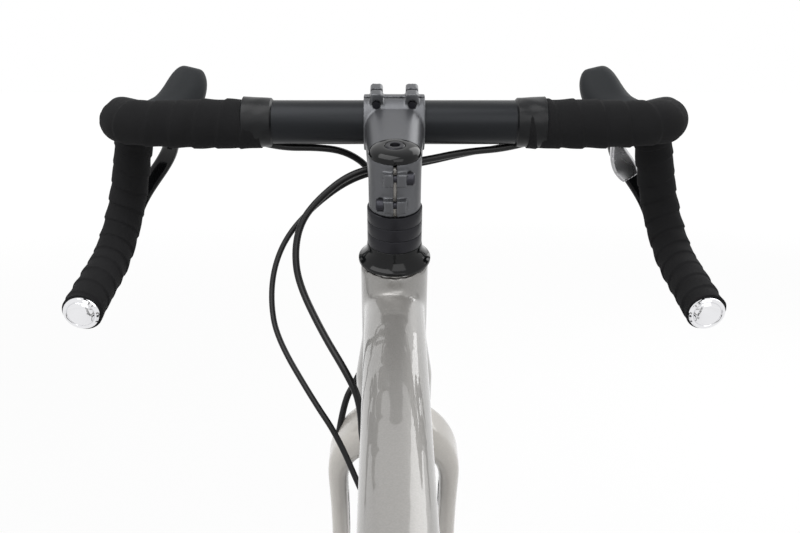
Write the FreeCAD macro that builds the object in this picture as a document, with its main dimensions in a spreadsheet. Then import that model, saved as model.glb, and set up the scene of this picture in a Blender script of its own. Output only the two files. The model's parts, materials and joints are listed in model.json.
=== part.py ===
import FreeCAD, Part
import Sketcher
import math
import os
import re

os.makedirs("parts", exist_ok=True)
doc = FreeCAD.newDocument("gravel_bike")

# Sizes in millimetres and angles in degrees, one cell each.
SIZES = {
    # layout of the frame
    "wheelbase": 1030,
    "bottom_bracket_drop": 72,
    "chainstay_length": 430,
    "head_angle": 71.5,
    "seat_angle": 73,
    "fork_offset": 50,
    "axle_to_crown": 395,
    "crown_gap": 3,
    "running_gap": 0.1,
    "part_gap": 0.3,
    # head tube and headset
    "head_tube_length": 130,
    "head_tube_lower_radius": 28.5,
    "head_tube_upper_radius": 23.5,
    "head_tube_collar": 30,
    "head_tube_taper": 34,
    "head_bore_radius": 20,
    "lower_bearing_radius": 26,
    "upper_bearing_radius": 21,
    "bearing_height": 7,
    "steerer_radius": 14.3,
    "steerer_lower_radius": 19.2,
    "steerer_bore_radius": 11.6,
    "steerer_taper": 50,
    "cover_base_radius": 24.8,
    "cover_top_radius": 18.6,
    "cover_lip": 2.4,
    "cover_height": 14.2,
    "spacer_radius": 18.5,
    "spacer_count": 3,
    "spacer_height": 9,
    "spacer_bevel": 0.5,
    # main tubes
    "top_tube_set_down": 40,
    "top_tube_seat_height": 455,
    "top_tube_head_width": 42,
    "top_tube_head_height": 42,
    "top_tube_seat_width": 32,
    "top_tube_seat_depth": 33,
    "down_tube_set_up": 32,
    "down_tube_head_width": 44,
    "down_tube_head_height": 50,
    "down_tube_foot_width": 58,
    "down_tube_foot_height": 44,
    "tube_wall": 2,
    "seat_tube_length": 490,
    "seat_tube_radius": 17.5,
    "seatpost_radius": 13.6,
    "shell_radius": 21,
    "shell_bore_radius": 17.5,
    "shell_width": 68,
    "cup_thickness": 8,
    "boss_spacing": 64,
    "boss_hole_radius": 2.1,
    "boss_hole_depth": 7,
    "boss_radius": 6,
    "boss_height": 1.6,
    "down_boss_place": 300,
    "seat_boss_place": 200,
    # rear stays and dropouts
    "rear_axle_width": 142,
    "dropout_thickness": 9,
    "dropout_radius": 16,
    "dropout_reach": 44,
    "eyelet_radius": 7,
    "eyelet_back": 11,
    "eyelet_up": 18,
    "chainstay_height": 22,
    "seatstay_height": 17,
    "seatstay_top_place": 395,
    "hanger_thickness": 6,
    "hanger_radius": 11,
    "hanger_back": 8,
    "hanger_drop": 30,
    "axle_radius": 6,
    "axle_head_radius": 10,
    "axle_head": 5,
    # fork
    "front_axle_width": 100,
    "fork_end_thickness": 11,
    "fork_end_radius": 13.5,
    "fork_leg_length": 395,
    "fork_shoulder_side": 44.5,
    # wheels
    "bead_seat_radius": 311,
    "tyre_width": 40,
    "tyre_wall": 2.8,
    "rim_hook_height": 6,
    "rim_hook_width": 2,
    "rim_depth": 27,
    "rim_width": 26,
    "rim_nose_width": 12,
    "rim_wall": 2,
    "spoke_count": 28,
    "spoke_radius": 1,
    "spoke_cross_angle": 52,
    "spoke_head_offset": 3.4,
    "nipple_radius": 2.1,
    "nipple_length": 12,
    "flange_radius": 27,
    "flange_hole_radius": 24,
    "flange_thickness": 2.4,
    "hub_waist_radius": 13,
    "hub_bearing_radius": 11,
    "hub_bearing_width": 7,
    "end_cap_radius": 8.5,
    "front_flange_left": 24,
    "front_flange_right": 32,
    "rear_flange_left": 33,
    "rear_flange_right": 20,
    "rotor_inset": 15,
    "rotor_radius": 80,
    "rotor_track": 14,
    "rotor_thickness": 1.8,
    "rotor_bore_radius": 20,
    "rotor_window_count": 6,
    "rotor_hole_count": 24,
    "rotor_hole_radius": 3,
    "rotor_seat": 4,
    # brakes
    "caliper_place": 66,
    "caliper_length": 38,
    "caliper_depth": 36,
    "caliper_width": 30,
    "caliper_bridge": 6,
    "front_caliper_angle": 32,
    "rear_caliper_angle": 18,
    "pad_length": 26,
    "pad_depth": 18,
    "pad_thickness": 2.6,
    "pad_gap": 0.4,
    "foot_thickness": 8,
    # transmission
    "chain_pitch": 12.7,
    "chain_plate_height": 8,
    "chain_plate_thickness": 1.1,
    "chain_half_width": 2.8,
    "roller_radius": 3.8,
    "roller_seat_radius": 4,
    "tooth_tip": 2.6,
    "tooth_tip_width": 1.9,
    "sprocket_thickness": 1.8,
    "cog_spacing": 3.9,
    "smallest_cog_inset": 6,
    "chainring_teeth": 40,
    "chain_cog": 5,
    "jockey_teeth": 12,
    "jockey_bore_radius": 4,
    "freehub_radius": 17.2,
    "chainring_bore_radius": 50,
    "spider_width": 16,
    "spider_thickness": 4,
    "spider_reach": 60,
    "ring_bolt_radius": 4.5,
    "ring_bolt_height": 2.4,
    "spindle_radius": 12,
    "crank_length": 170,
    "crank_boss_radius": 18,
    "crank_tip_radius": 14,
    "crank_inset": 57,
    "crank_thickness": 14,
    "guide_drop": 116,
    "guide_ahead": 6,
    "cage_length": 90,
    "cage_angle": -62,
    "cage_spare_angle": 30,
    "cage_plate_width": 22,
    "cage_plate_thickness": 2,
    "cage_plate_gap": 4.2,
    "knuckle_radius": 14,
    "knuckle_width": 16,
    "link_width": 20,
    # pedals
    "pedal_length": 98,
    "pedal_width": 94,
    "pedal_thickness": 16,
    "pedal_rail": 11,
    "pedal_axle_radius": 6,
    "pedal_inset": 6,
    # stem and handlebar
    "stem_clamp_height": 37.5,
    "stem_clamp_radius": 17.4,
    "stem_length": 80,
    "stem_rise": 6,
    "stem_body_width": 34,
    "stem_body_height": 33,
    "stem_slot": 2,
    "stem_window_width": 19,
    "stem_window_height": 9,
    "stem_window_depth": 8,
    "stem_lug_depth": 9,
    "bar_clamp_radius": 20.2,
    "bar_clamp_width": 44,
    "bar_radius": 15.9,
    "ear_spacing": 25.4,
    "ear_width": 9,
    "ear_height": 6.5,
    "ear_depth": 9,
    "faceplate_gap": 2,
    "stem_bolt_radius": 2.5,
    "stem_bolt_head_radius": 4.2,
    "stem_bolt_head": 5,
    "cap_radius": 17.3,
    "cap_edge": 1.4,
    "cap_height": 6.2,
    "cap_well_radius": 6.9,
    "cap_well_depth": 2.6,
    "cap_bolt_head_radius": 6.7,
    "cap_bolt_head": 3.4,
    "cap_bolt_radius": 3,
    "cap_bolt_length": 34,
    "cap_socket_radius": 3.3,
    "star_nut_height": 10,
    "bar_tops_half": 140,
    "bar_tops_taper": 24,
    "bar_drop_radius": 11.9,
    "bar_width": 412,
    "bar_reach": 71,
    "bar_ramp_fall": 17,
    "bar_drop": 125,
    "bar_tail": 44,
    "bar_tail_tilt": 15.2,
    "bar_flare": 12.5,
    "bar_roll": 12.6,
    "bar_bend_radius": 30,
    "bar_hook_radius": 36,
    "bar_lower_radius": 60,
    "tape_thickness": 1.7,
    "tape_drop_thickness": 2.5,
    "tape_ridge": 0.6,
    "tape_pitch": 17,
    "tape_hood_start": 224,
    "tape_hood_end": 302,
    "band_place": 88,
    "band_width": 18,
    "band_thickness": 2,
    "plug_radius": 13.6,
    "plug_height": 6,
    # levers
    "hood_length": 100,
    "lever_length": 100,
    "lever_pin_radius": 2.5,
    "lever_boss_radius": 6.5,
    "lever_boss_width": 13,
    "lever_pin_length": 22,
    "paddle_pin_radius": 2,
    "paddle_pin_length": 18,
    "paddle_room": 1.5,
    # cables
    "cable_loop": 100,
    "hose_radius": 2.6,
    "shift_radius": 2.1,
    "hose_tuck_angle": 6,
    "shift_tuck_angle": 22,
    "hose_port_place": 62,
    "shift_port_place": 92,
    # seat
    "seatpost_length": 300,
    "saddle_height": 555,
    "saddle_setback": 15,
    "saddle_length": 265,
    "saddle_shell_thickness": 4,
    "saddle_clearance": 34,
    "rail_radius": 3.5,
    "rail_spacing": 44,
    "rail_clamp_length": 40,
    "rail_clamp_plate": 6,
    "collar_height": 12,
    "collar_thickness": 4.5,
    "collar_slot": 2,
    "collar_ear": 9,
    "small_bolt_radius": 2.5,
}
COGS = (11, 13, 15, 17, 19, 21, 24, 28, 32, 36, 42)

sheet = doc.addObject("Spreadsheet::Sheet", "Sizes")
for row, (name, value) in enumerate(SIZES.items(), start=1):
    sheet.set(f"A{row}", name)
    sheet.set(f"B{row}", str(value))
    sheet.setAlias(f"B{row}", name)
doc.recompute()

ACROSS = FreeCAD.Vector(0, 1, 0)
AHEAD = FreeCAD.Vector(1, 0, 0)
UP = FreeCAD.Vector(0, 0, 1)
NODES = {}


def size(words):
    """Worth of a sum of sheet cells."""
    return float(sheet.evalExpression(words))


def bound(words):
    """The same sum written for an expression on another object."""
    return re.sub(r"[a-z_]+", r"Sizes.\g<0>", words)


def angle(name):
    return math.radians(size(name))


def spot(x, y, z):
    return FreeCAD.Vector(x, y, z)


def facing(origin, along, right):
    """Placement whose third axis runs along and whose first axis points right."""
    side = along.cross(right)
    return FreeCAD.Placement(origin, FreeCAD.Rotation(right, side, along, "ZXY"))


def node(label, item):
    item.Label = label
    NODES[label] = item
    return item


def held(item, name, words):
    item.setExpression(name, bound(words))


def draw_polygon(sketch, corners):
    """Closed polygon in a sketch, each corner held by two bound distances."""
    first = sketch.GeometryCount
    count = len(corners)
    points = [spot(size(x), size(y), 0) for x, y in corners]
    for i in range(count):
        sketch.addGeometry(Part.LineSegment(points[i], points[(i + 1) % count]))
    for i in range(count):
        sketch.addConstraint(
            Sketcher.Constraint("Coincident", first + i, 2, first + (i + 1) % count, 1)
        )
    for i, words in enumerate(corners):
        for way, value, text, axis in (
            ("DistanceX", points[i].x, words[0], -2),
            ("DistanceY", points[i].y, words[1], -1),
        ):
            if value == 0:
                sketch.addConstraint(Sketcher.Constraint("PointOnObject", first + i, 1, axis))
            else:
                index = sketch.addConstraint(Sketcher.Constraint(way, -1, 1, first + i, 1, value))
                sketch.setExpression(f"Constraints[{index}]", bound(text))


def draw_circle(sketch, radius):
    """Circle round the sketch's origin with a bound radius."""
    middle = spot(0, 0, 0)
    circle = sketch.addGeometry(Part.Circle(middle, UP, size(radius)))
    sketch.addConstraint(Sketcher.Constraint("Coincident", circle, 3, -1, 1))
    index = sketch.addConstraint(Sketcher.Constraint("Radius", circle, size(radius)))
    sketch.setExpression(f"Constraints[{index}]", bound(radius))


def sketch_on(body, role, label):
    sketch = body.newObject("Sketcher::SketchObject", label)
    plane = next(f for f in body.Origin.OriginFeatures if f.Role == role)
    sketch.AttachmentSupport = [(plane, "")]
    sketch.MapMode = "FlatFace"
    return sketch


def turned(label, loops, place):
    """Body turned from loops of (radius, height along the axis)."""
    body = doc.addObject("PartDesign::Body", label)
    sketch = sketch_on(body, "XZ_Plane", label + "_section")
    for loop in loops:
        draw_polygon(sketch, loop)
    turn = body.newObject("PartDesign::Revolution", label + "_turn")
    turn.Profile = sketch
    turn.ReferenceAxis = (sketch, ["V_Axis"])
    turn.Angle = 360
    body.Placement = place
    return body


def ring(label, inner, outer, low, high, place):
    return turned(label, [[(inner, low), (outer, low), (outer, high), (inner, high)]], place)


def rod(label, radius, length, place):
    item = doc.addObject("Part::Cylinder", label)
    held(item, "Radius", radius)
    held(item, "Height", length)
    item.Placement = place
    return item


def block(label, sides, place):
    """Box centred on its placement."""
    item = doc.addObject("Part::Box", label)
    held(item, "Length", sides[0])
    held(item, "Width", sides[1])
    held(item, "Height", sides[2])
    half = spot(-size(sides[0]) / 2, -size(sides[1]) / 2, -size(sides[2]) / 2)
    item.Placement = place.multiply(FreeCAD.Placement(half, FreeCAD.Rotation()))
    return item


def solid(label, shape):
    item = doc.addObject("Part::Feature", label)
    item.Shape = shape
    return item


def group(label, items):
    item = doc.addObject("Part::Compound", label)
    item.Links = items
    return item


def cut(label, base, tools):
    if len(tools) > 1:
        tool = doc.addObject("Part::MultiFuse", label + "_tools")
        tool.Shapes = tools
    else:
        tool = tools[0]
    item = doc.addObject("Part::Cut", label)
    item.Base = base
    item.Tool = tool
    return item


def fuse(label, items):
    item = doc.addObject("Part::MultiFuse", label)
    item.Shapes = items
    return item


def mirrored(label, item):
    """The same piece on the other side of the middle plane."""
    copy = doc.addObject("Part::Mirroring", label)
    copy.Source = item
    copy.Base = spot(0, 0, 0)
    copy.Normal = ACROSS
    return copy


def now(item):
    """Shape of an item after the document is worked out."""
    doc.recompute()
    return item.Shape


def bent_path(corners, radii):
    """Wire of straight runs joined by tangent arcs."""
    edges = []
    start = corners[0]
    for before, corner, after, radius in zip(corners, corners[1:], corners[2:], radii):
        back = (before - corner).normalize()
        on = (after - corner).normalize()
        half = back.getAngle(on) / 2
        reach = radius / math.tan(half)
        middle = (back + on).normalize() * (radius / math.sin(half))
        enter = corner + back * reach
        leave = corner + on * reach
        inner = corner + middle - middle.normalize() * radius
        edges.append(Part.LineSegment(start, enter).toShape())
        edges.append(Part.Arc(enter, inner, leave).toShape())
        start = leave
    edges.append(Part.LineSegment(start, corners[-1]).toShape())
    return Part.Wire(edges)


def widest_radii(corners, share=0.45):
    """Largest arcs that the runs beside each corner leave room for."""
    radii = []
    for before, corner, after in zip(corners, corners[1:], corners[2:]):
        short = min((before - corner).Length, (after - corner).Length)
        turn = math.pi - (before - corner).getAngle(after - corner)
        radii.append(share * short / math.tan(turn / 2))
    return radii


def swept(label, path, radius):
    """Round bar along a wire."""
    spine = solid(label + "_path", path)
    first = path.OrderedEdges[0]
    start = first.valueAt(first.FirstParameter)
    way = first.tangentAt(first.FirstParameter)
    if (path.OrderedVertexes[0].Point - start).Length > size("part_gap"):
        start = path.OrderedVertexes[0].Point
        way = way * -1
    circle = doc.addObject("Part::Circle", label + "_section")
    held(circle, "Radius", radius)
    circle.Placement = FreeCAD.Placement(start, FreeCAD.Rotation(UP, way))
    item = doc.addObject("Part::Sweep", label)
    item.Sections = [circle]
    item.Spine = (spine, [f"Edge{i + 1}" for i in range(len(path.Edges))])
    item.Solid = True
    item.Frenet = False
    return item


def rounded(centre, right, up, width, height, share):
    """Rounded rectangle of four lines and four arcs in the plane of right and up."""
    corner = share * min(width, height) / 2
    inner_width = width / 2 - corner
    inner_height = height / 2 - corner
    edges = []
    last = None
    first = None
    for i, (a, b) in enumerate(((1, 1), (-1, 1), (-1, -1), (1, -1))):
        middle = centre + right * (a * inner_width) + up * (b * inner_height)
        sideways = right * (a * corner)
        upward = up * (b * corner)
        enter, leave = (sideways, upward) if a == b else (upward, sideways)
        bulge = (sideways + upward).normalize() * corner
        if last is not None:
            edges.append(Part.LineSegment(last, middle + enter).toShape())
        else:
            first = middle + enter
        edges.append(Part.Arc(middle + enter, middle + bulge, middle + leave).toShape())
        last = middle + leave
    edges.append(Part.LineSegment(last, first).toShape())
    return Part.Wire(edges)


def lofted(sections):
    """Smooth solid through the sections, right side out whichever way they run."""
    whole = Part.makeLoft(sections, True, False)
    if whole.Volume < 0:
        whole.reverse()
    return whole


def across_rod(radius, centre, low, high):
    """Cylinder across the bike from one side place to another."""
    start = spot(centre.x, low, centre.z)
    return Part.makeCylinder(radius, high - low, start, ACROSS)


# places that the whole bike hangs on
HALF_BASE = size("wheelbase / 2")
AXLE_HEIGHT = size("bead_seat_radius + tyre_width")
REAR_AXLE = spot(-HALF_BASE, 0, AXLE_HEIGHT)
FRONT_AXLE = spot(HALF_BASE, 0, AXLE_HEIGHT)
STAY_RUN = math.sqrt(size("chainstay_length") ** 2 - size("bottom_bracket_drop") ** 2)
SHELL = spot(-HALF_BASE + STAY_RUN, 0, AXLE_HEIGHT - size("bottom_bracket_drop"))
STEER_UP = spot(-math.cos(angle("head_angle")), 0, math.sin(angle("head_angle")))
STEER_AHEAD = spot(math.sin(angle("head_angle")), 0, math.cos(angle("head_angle")))
SEAT_UP = spot(-math.cos(angle("seat_angle")), 0, math.sin(angle("seat_angle")))
SEAT_AHEAD = spot(math.sin(angle("seat_angle")), 0, math.cos(angle("seat_angle")))
CROWN_RUN = math.sqrt(size("axle_to_crown") ** 2 - size("fork_offset") ** 2)
HEAD_LOW = (
    FRONT_AXLE - STEER_AHEAD * size("fork_offset") + STEER_UP * (CROWN_RUN + size("crown_gap"))
)
AXLE_ALONG = -(CROWN_RUN + size("crown_gap"))


def steer(along, ahead, side):
    """Place counted from the head tube's lower end, up the steering axis."""
    return HEAD_LOW + STEER_UP * along + STEER_AHEAD * ahead + ACROSS * side


def seat(along, ahead, side):
    """Place counted from the bottom bracket, up the seat tube."""
    return SHELL + SEAT_UP * along + SEAT_AHEAD * ahead + ACROSS * side


STEER_PLACE = facing(HEAD_LOW, STEER_UP, STEER_AHEAD)
SEAT_PLACE = facing(SHELL, SEAT_UP, SEAT_AHEAD)
HEAD_TOP = size("head_tube_length")
STACK_TOP = "(head_tube_length + cover_height + spacer_count * spacer_height)"


def make_main_frame():
    """Head tube, top tube, down tube, seat tube and bottom bracket shell, welded together."""
    top = "head_tube_length"
    head = turned(
        "head_tube",
        [[
            ("lower_bearing_radius", "0"),
            ("head_tube_lower_radius", "0"),
            ("head_tube_lower_radius", "head_tube_collar"),
            ("head_tube_upper_radius", "head_tube_collar + head_tube_taper"),
            ("head_tube_upper_radius", top),
            ("upper_bearing_radius", top),
            ("upper_bearing_radius", f"{top} - bearing_height"),
            ("head_bore_radius", f"{top} - bearing_height"),
            ("head_bore_radius", "bearing_height"),
            ("lower_bearing_radius", "bearing_height"),
        ]],
        STEER_PLACE,
    )
    shell_place = facing(SHELL - ACROSS * size("shell_width / 2"), ACROSS, AHEAD)
    shell = ring("shell", "shell_bore_radius", "shell_radius", "0", "shell_width", shell_place)
    post = ring(
        "seat_tube", "seatpost_radius + running_gap", "seat_tube_radius",
        "shell_radius / 2", "seat_tube_length", SEAT_PLACE,
    )
    head_core = now(turned(
        "head_core",
        [[
            ("0", "0"),
            ("head_tube_lower_radius", "0"),
            ("head_tube_lower_radius", "head_tube_collar"),
            ("head_tube_upper_radius", "head_tube_collar + head_tube_taper"),
            ("head_tube_upper_radius", top),
            ("0", top),
        ]],
        STEER_PLACE,
    ))
    shell_core = across_rod(
        size("shell_radius"), SHELL, -size("shell_width"), size("shell_width")
    )
    seat_core = Part.makeCylinder(
        size("seat_tube_radius"), size("seat_tube_length"), SHELL, SEAT_UP
    )
    crown_room = Part.makeCylinder(
        size("lower_bearing_radius + part_gap"), size("head_tube_collar"),
        steer(-size("head_tube_collar"), 0, 0), STEER_UP,
    )
    down_shape = down_tube().cut([head_core, shell_core, crown_room])
    top_shape = top_tube().cut([head_core, seat_core])
    seat_shape = post.Shape.cut([shell_core, down_tube_block(0)])
    down_shape, seat_shape = with_bosses(down_shape, seat_shape)
    items = [
        head,
        solid("top_tube", top_shape),
        solid("down_tube", down_shape),
        solid("seat_tube_cut", seat_shape),
        shell,
    ]
    node("main_frame", group("main_frame", items))
    return seat_core, shell_core


def down_tube_line():
    start = steer(size("down_tube_set_up"), 0, 0)
    return start, (SHELL - start).normalize(), (SHELL - start).Length


def down_tube_block(wall):
    start, way, length = down_tube_line()
    up = ACROSS.cross(way) * -1
    sections = []
    for place, width, height in (
        (0, "down_tube_head_width", "down_tube_head_height"),
        (length, "down_tube_foot_width", "down_tube_foot_height"),
    ):
        sections.append(
            rounded(start + way * place, ACROSS, up, size(width) - wall, size(height) - wall, 0.9)
        )
    return lofted(sections)


def down_tube():
    return down_tube_block(0).cut(down_tube_block(size("2 * tube_wall")))


def top_tube():
    start = steer(HEAD_TOP - size("top_tube_set_down"), 0, 0)
    end = seat(size("top_tube_seat_height"), 0, 0)
    way = (end - start).normalize()
    up = way.cross(ACROSS)
    blocks = []
    for wall in (0, size("2 * tube_wall")):
        sections = []
        for place, width, height in (
            (start, "top_tube_head_width", "top_tube_head_height"),
            (end, "top_tube_seat_width", "top_tube_seat_depth"),
        ):
            sections.append(
                rounded(place, ACROSS, up, size(width) - wall, size(height) - wall, 0.8)
            )
        blocks.append(lofted(sections))
    return blocks[0].cut(blocks[1])


def boss_places():
    """Bottle bosses: face centre and outward direction, two on each of two tubes."""
    start, way, length = down_tube_line()
    up = ACROSS.cross(way)
    spacing = size("boss_spacing")
    places = []
    for step in (0, spacing):
        along = size("down_boss_place") + step
        share = along / length
        high = size("down_tube_head_height") * (1 - share) + size("down_tube_foot_height") * share
        places.append(("down", start + way * along + up * (high / 2), up))
        high = size("seat_tube_radius")
        places.append(("seat", seat(size("seat_boss_place") + step, high, 0), SEAT_AHEAD))
    return places


def with_bosses(down_shape, seat_shape):
    """Raised threaded bosses for two bottle cages."""
    shapes = {"down": down_shape, "seat": seat_shape}
    for tube, face, way in boss_places():
        foot = face - way * (size("boss_hole_depth") - size("boss_height"))
        high = size("boss_hole_depth")
        boss = Part.makeCylinder(size("boss_radius"), high, foot, way)
        if tube == "seat":
            bore = Part.makeCylinder(
                size("seatpost_radius + running_gap"), size("seat_tube_length"), SHELL, SEAT_UP
            )
            boss = boss.cut(bore)
        hole = Part.makeCylinder(size("boss_hole_radius"), 2 * high, foot - way * (high / 2), way)
        shapes[tube] = shapes[tube].fuse(boss).cut(hole)
    return shapes["down"], shapes["seat"]


# chain stay rows: share of the run from the shell, side place, width and height as shares
CHAINSTAY_SHARES = (
    (0.0, 0.42, 0.40, 1.00),
    (0.23, 0.50, 0.21, 1.00),
    (0.46, 0.60, 0.22, 0.95),
    (0.72, 0.77, 0.20, 0.86),
    (0.88, 0.91, 0.18, 0.90),
)
# seat stay rows: share of the run from the seat tube, side place, width and height as shares
SEATSTAY_SHARES = (
    (0.0, 0.13, 0.15, 1.25),
    (0.13, 0.47, 0.20, 1.10),
    (0.36, 0.60, 0.16, 1.00),
    (0.63, 0.76, 0.16, 0.95),
    (0.85, 0.93, 0.16, 0.95),
)


def stay(shares, start, end, depth):
    """Stay on the left side, drawn round the tyre, from start to the dropout's tab at end."""
    half = size("rear_axle_width / 2")
    plate = size("dropout_thickness")
    rows = [(row[0], half * row[1], half * row[2], depth * row[3]) for row in shares]
    rows.append((1, half + plate / 2, plate, depth))
    way = (end - start).normalize()
    up = way.cross(ACROSS) if way.x < 0 else ACROSS.cross(way)
    sections = []
    for along, side, width, high in rows:
        centre = start + (end - start) * along + ACROSS * side
        sections.append(rounded(centre, ACROSS, up, width, high, 0.85))
    return lofted(sections)


def tab(end, depth):
    """Flat tab of the left dropout from the axle out to the end of a stay."""
    half = size("rear_axle_width / 2")
    plate = size("dropout_thickness")
    middle = ACROSS * (half + plate / 2)
    up = ACROSS.cross((end - REAR_AXLE).normalize())
    return lofted([
        rounded(REAR_AXLE + middle, ACROSS, up, plate, depth, 0.2),
        rounded(end + middle, ACROSS, up, plate, depth, 0.2),
    ])


def make_rear_stays(seat_core, shell_core):
    """Chain stays, seat stays and dropouts on both sides, and the derailleur hanger."""
    half = size("rear_axle_width / 2")
    outside = half + size("dropout_thickness")
    reach = size("dropout_reach")
    top = seat(size("seatstay_top_place"), -size("seat_tube_radius / 2"), 0)
    low_end = REAR_AXLE + (SHELL - REAR_AXLE).normalize() * reach
    top_end = REAR_AXLE + (top - REAR_AXLE).normalize() * reach
    low_deep = size("chainstay_height")
    top_deep = size("seatstay_height")
    lower = stay(CHAINSTAY_SHARES, SHELL, low_end, low_deep).cut([shell_core, seat_core])
    upper = stay(SEATSTAY_SHARES, top, top_end, top_deep).cut(seat_core)
    boss = across_rod(size("dropout_radius"), REAR_AXLE, half, outside)
    eye_centre = REAR_AXLE + spot(-size("eyelet_back"), 0, size("eyelet_up"))
    eye = across_rod(size("eyelet_radius"), eye_centre, half, outside)
    hole = across_rod(size("axle_radius"), REAR_AXLE, -2 * outside, 2 * outside)
    eye_hole = across_rod(size("boss_hole_radius"), eye_centre, 0, 2 * outside)
    plate = boss.fuse([eye, tab(low_end, low_deep), tab(top_end, top_deep)])
    plate = plate.cut([hole, eye_hole])
    items = [make_hanger(hole)]
    for name, shape in (("chain_stay", lower), ("seat_stay", upper), ("dropout", plate)):
        left = solid(f"left_{name}", shape)
        items += [left, mirrored(f"right_{name}", left)]
    node("rear_stays", group("rear_stays", items))


def hanger_bolt():
    return REAR_AXLE + spot(-size("hanger_back"), 0, -size("hanger_drop"))


def make_hanger(hole):
    outside = -size("rear_axle_width / 2 + dropout_thickness")
    low = outside - size("hanger_thickness")
    radius = size("hanger_radius")
    top = across_rod(radius, REAR_AXLE, low, outside)
    foot = across_rod(radius, hanger_bolt(), low, outside)
    way = (hanger_bolt() - REAR_AXLE).normalize()
    right = ACROSS.cross(way)
    middle = spot(0, (low + outside) / 2, 0)
    wide = 2 * radius
    deep = outside - low
    web = lofted([
        rounded(REAR_AXLE + middle, right, ACROSS, wide, deep, 0.1),
        rounded(hanger_bolt() + middle, right, ACROSS, wide, deep, 0.1),
    ])
    bolt = across_rod(size("small_bolt_radius"), hanger_bolt(), 2 * low, 0)
    return solid("derailleur_hanger", top.fuse([foot, web]).cut([hole, bolt]))


def make_headset():
    """Bearings in the head tube, cover, spacers, cap, bolt and star nut."""
    gap = "running_gap"
    lower = ring(
        "lower_bearing", f"steerer_lower_radius + {gap}", "lower_bearing_radius",
        "0", "bearing_height", STEER_PLACE,
    )
    upper = ring(
        "upper_bearing", f"steerer_radius + {gap}", "upper_bearing_radius",
        "head_tube_length - bearing_height", "head_tube_length", STEER_PLACE,
    )
    node("headset_bearings", group("headset_bearings", [lower, upper]))
    low = "head_tube_length + part_gap"
    high = "head_tube_length + cover_height"
    slope = "(cover_base_radius - cover_top_radius)"
    rise = "(cover_height - cover_lip)"
    bore = "steerer_radius"
    cover = turned(
        "headset_cover",
        [[
            (bore, low),
            ("cover_base_radius", low),
            ("cover_base_radius", "head_tube_length + cover_lip"),
            (f"cover_top_radius + {slope} * 0.6", f"head_tube_length + cover_lip + {rise} * 0.2"),
            (f"cover_top_radius + {slope} * 0.25", f"head_tube_length + cover_lip + {rise} * 0.5"),
            ("cover_top_radius", high),
            (bore, high),
        ]],
        STEER_PLACE,
    )
    node("headset_cover", cover)
    spacers = []
    for i in range(int(size("spacer_count"))):
        base = f"(head_tube_length + cover_height + {i} * spacer_height)"
        spacers.append(turned(
            f"spacer_{i}",
            [[
                (bore, base),
                ("spacer_radius - spacer_bevel", base),
                ("spacer_radius", f"{base} + spacer_bevel"),
                ("spacer_radius", f"{base} + spacer_height - spacer_bevel"),
                ("spacer_radius - spacer_bevel", f"{base} + spacer_height"),
                (bore, f"{base} + spacer_height"),
            ]],
            STEER_PLACE,
        ))
    node("headset_spacers", group("headset_spacers", spacers))


def make_top_cap():
    foot = f"({STACK_TOP} + stem_clamp_height)"
    cap = turned(
        "top_cap",
        [[
            ("cap_bolt_radius + running_gap", foot),
            ("cap_radius", foot),
            ("cap_radius", f"{foot} + cap_edge"),
            ("cap_radius * 0.86", f"{foot} + cap_edge + (cap_height - cap_edge) * 0.55"),
            ("cap_radius * 0.64", f"{foot} + cap_edge + (cap_height - cap_edge) * 0.88"),
            ("cap_well_radius", f"{foot} + cap_height"),
            ("cap_well_radius", f"{foot} + cap_well_depth"),
            ("cap_bolt_radius + running_gap", f"{foot} + cap_well_depth"),
        ]],
        STEER_PLACE,
    )
    node("top_cap", cap)
    seat_level = f"({foot} + cap_well_depth)"
    bolt = turned(
        "cap_bolt",
        [[
            ("0", f"{seat_level} - cap_bolt_length"),
            ("cap_bolt_radius", f"{seat_level} - cap_bolt_length"),
            ("cap_bolt_radius", seat_level),
            ("cap_bolt_head_radius", seat_level),
            ("cap_bolt_head_radius", f"{seat_level} + cap_bolt_head * 0.7"),
            ("cap_bolt_head_radius * 0.86", f"{seat_level} + cap_bolt_head"),
            ("cap_socket_radius", f"{seat_level} + cap_bolt_head"),
            ("cap_socket_radius", f"{seat_level} + cap_bolt_head * 0.2"),
            ("0", f"{seat_level} + cap_bolt_head * 0.2"),
        ]],
        STEER_PLACE,
    )
    nut = ring(
        "star_nut", "cap_bolt_radius", "steerer_bore_radius",
        f"{seat_level} - cap_bolt_length", f"{seat_level} - cap_bolt_length + star_nut_height",
        STEER_PLACE,
    )
    node("top_cap_bolt", group("top_cap_bolt", [bolt, nut]))


# fork leg rows: place down the leg, place ahead as a share of the offset, side place as a
# share of the shoulder, lean of the section, width across and depth fore and aft as shares
FORK_SHARES = (
    (0.052, 0.00, 0.10, 88, 0.75, 0.98),
    (0.075, 0.00, 0.60, 52, 0.58, 0.90),
    (0.125, 0.00, 0.93, 22, 0.42, 0.78),
    (0.200, 0.00, 1.00, 2, 0.345, 0.68),
    (0.420, 0.02, 1.01, -3, 0.34, 0.60),
    (0.700, 0.24, 1.10, -6, 0.30, 0.50),
    (0.930, 0.84, 1.22, -6, 0.26, 0.42),
    (1.000, 1.00, 1.25, -6, 0.25, 0.40),
)


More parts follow.
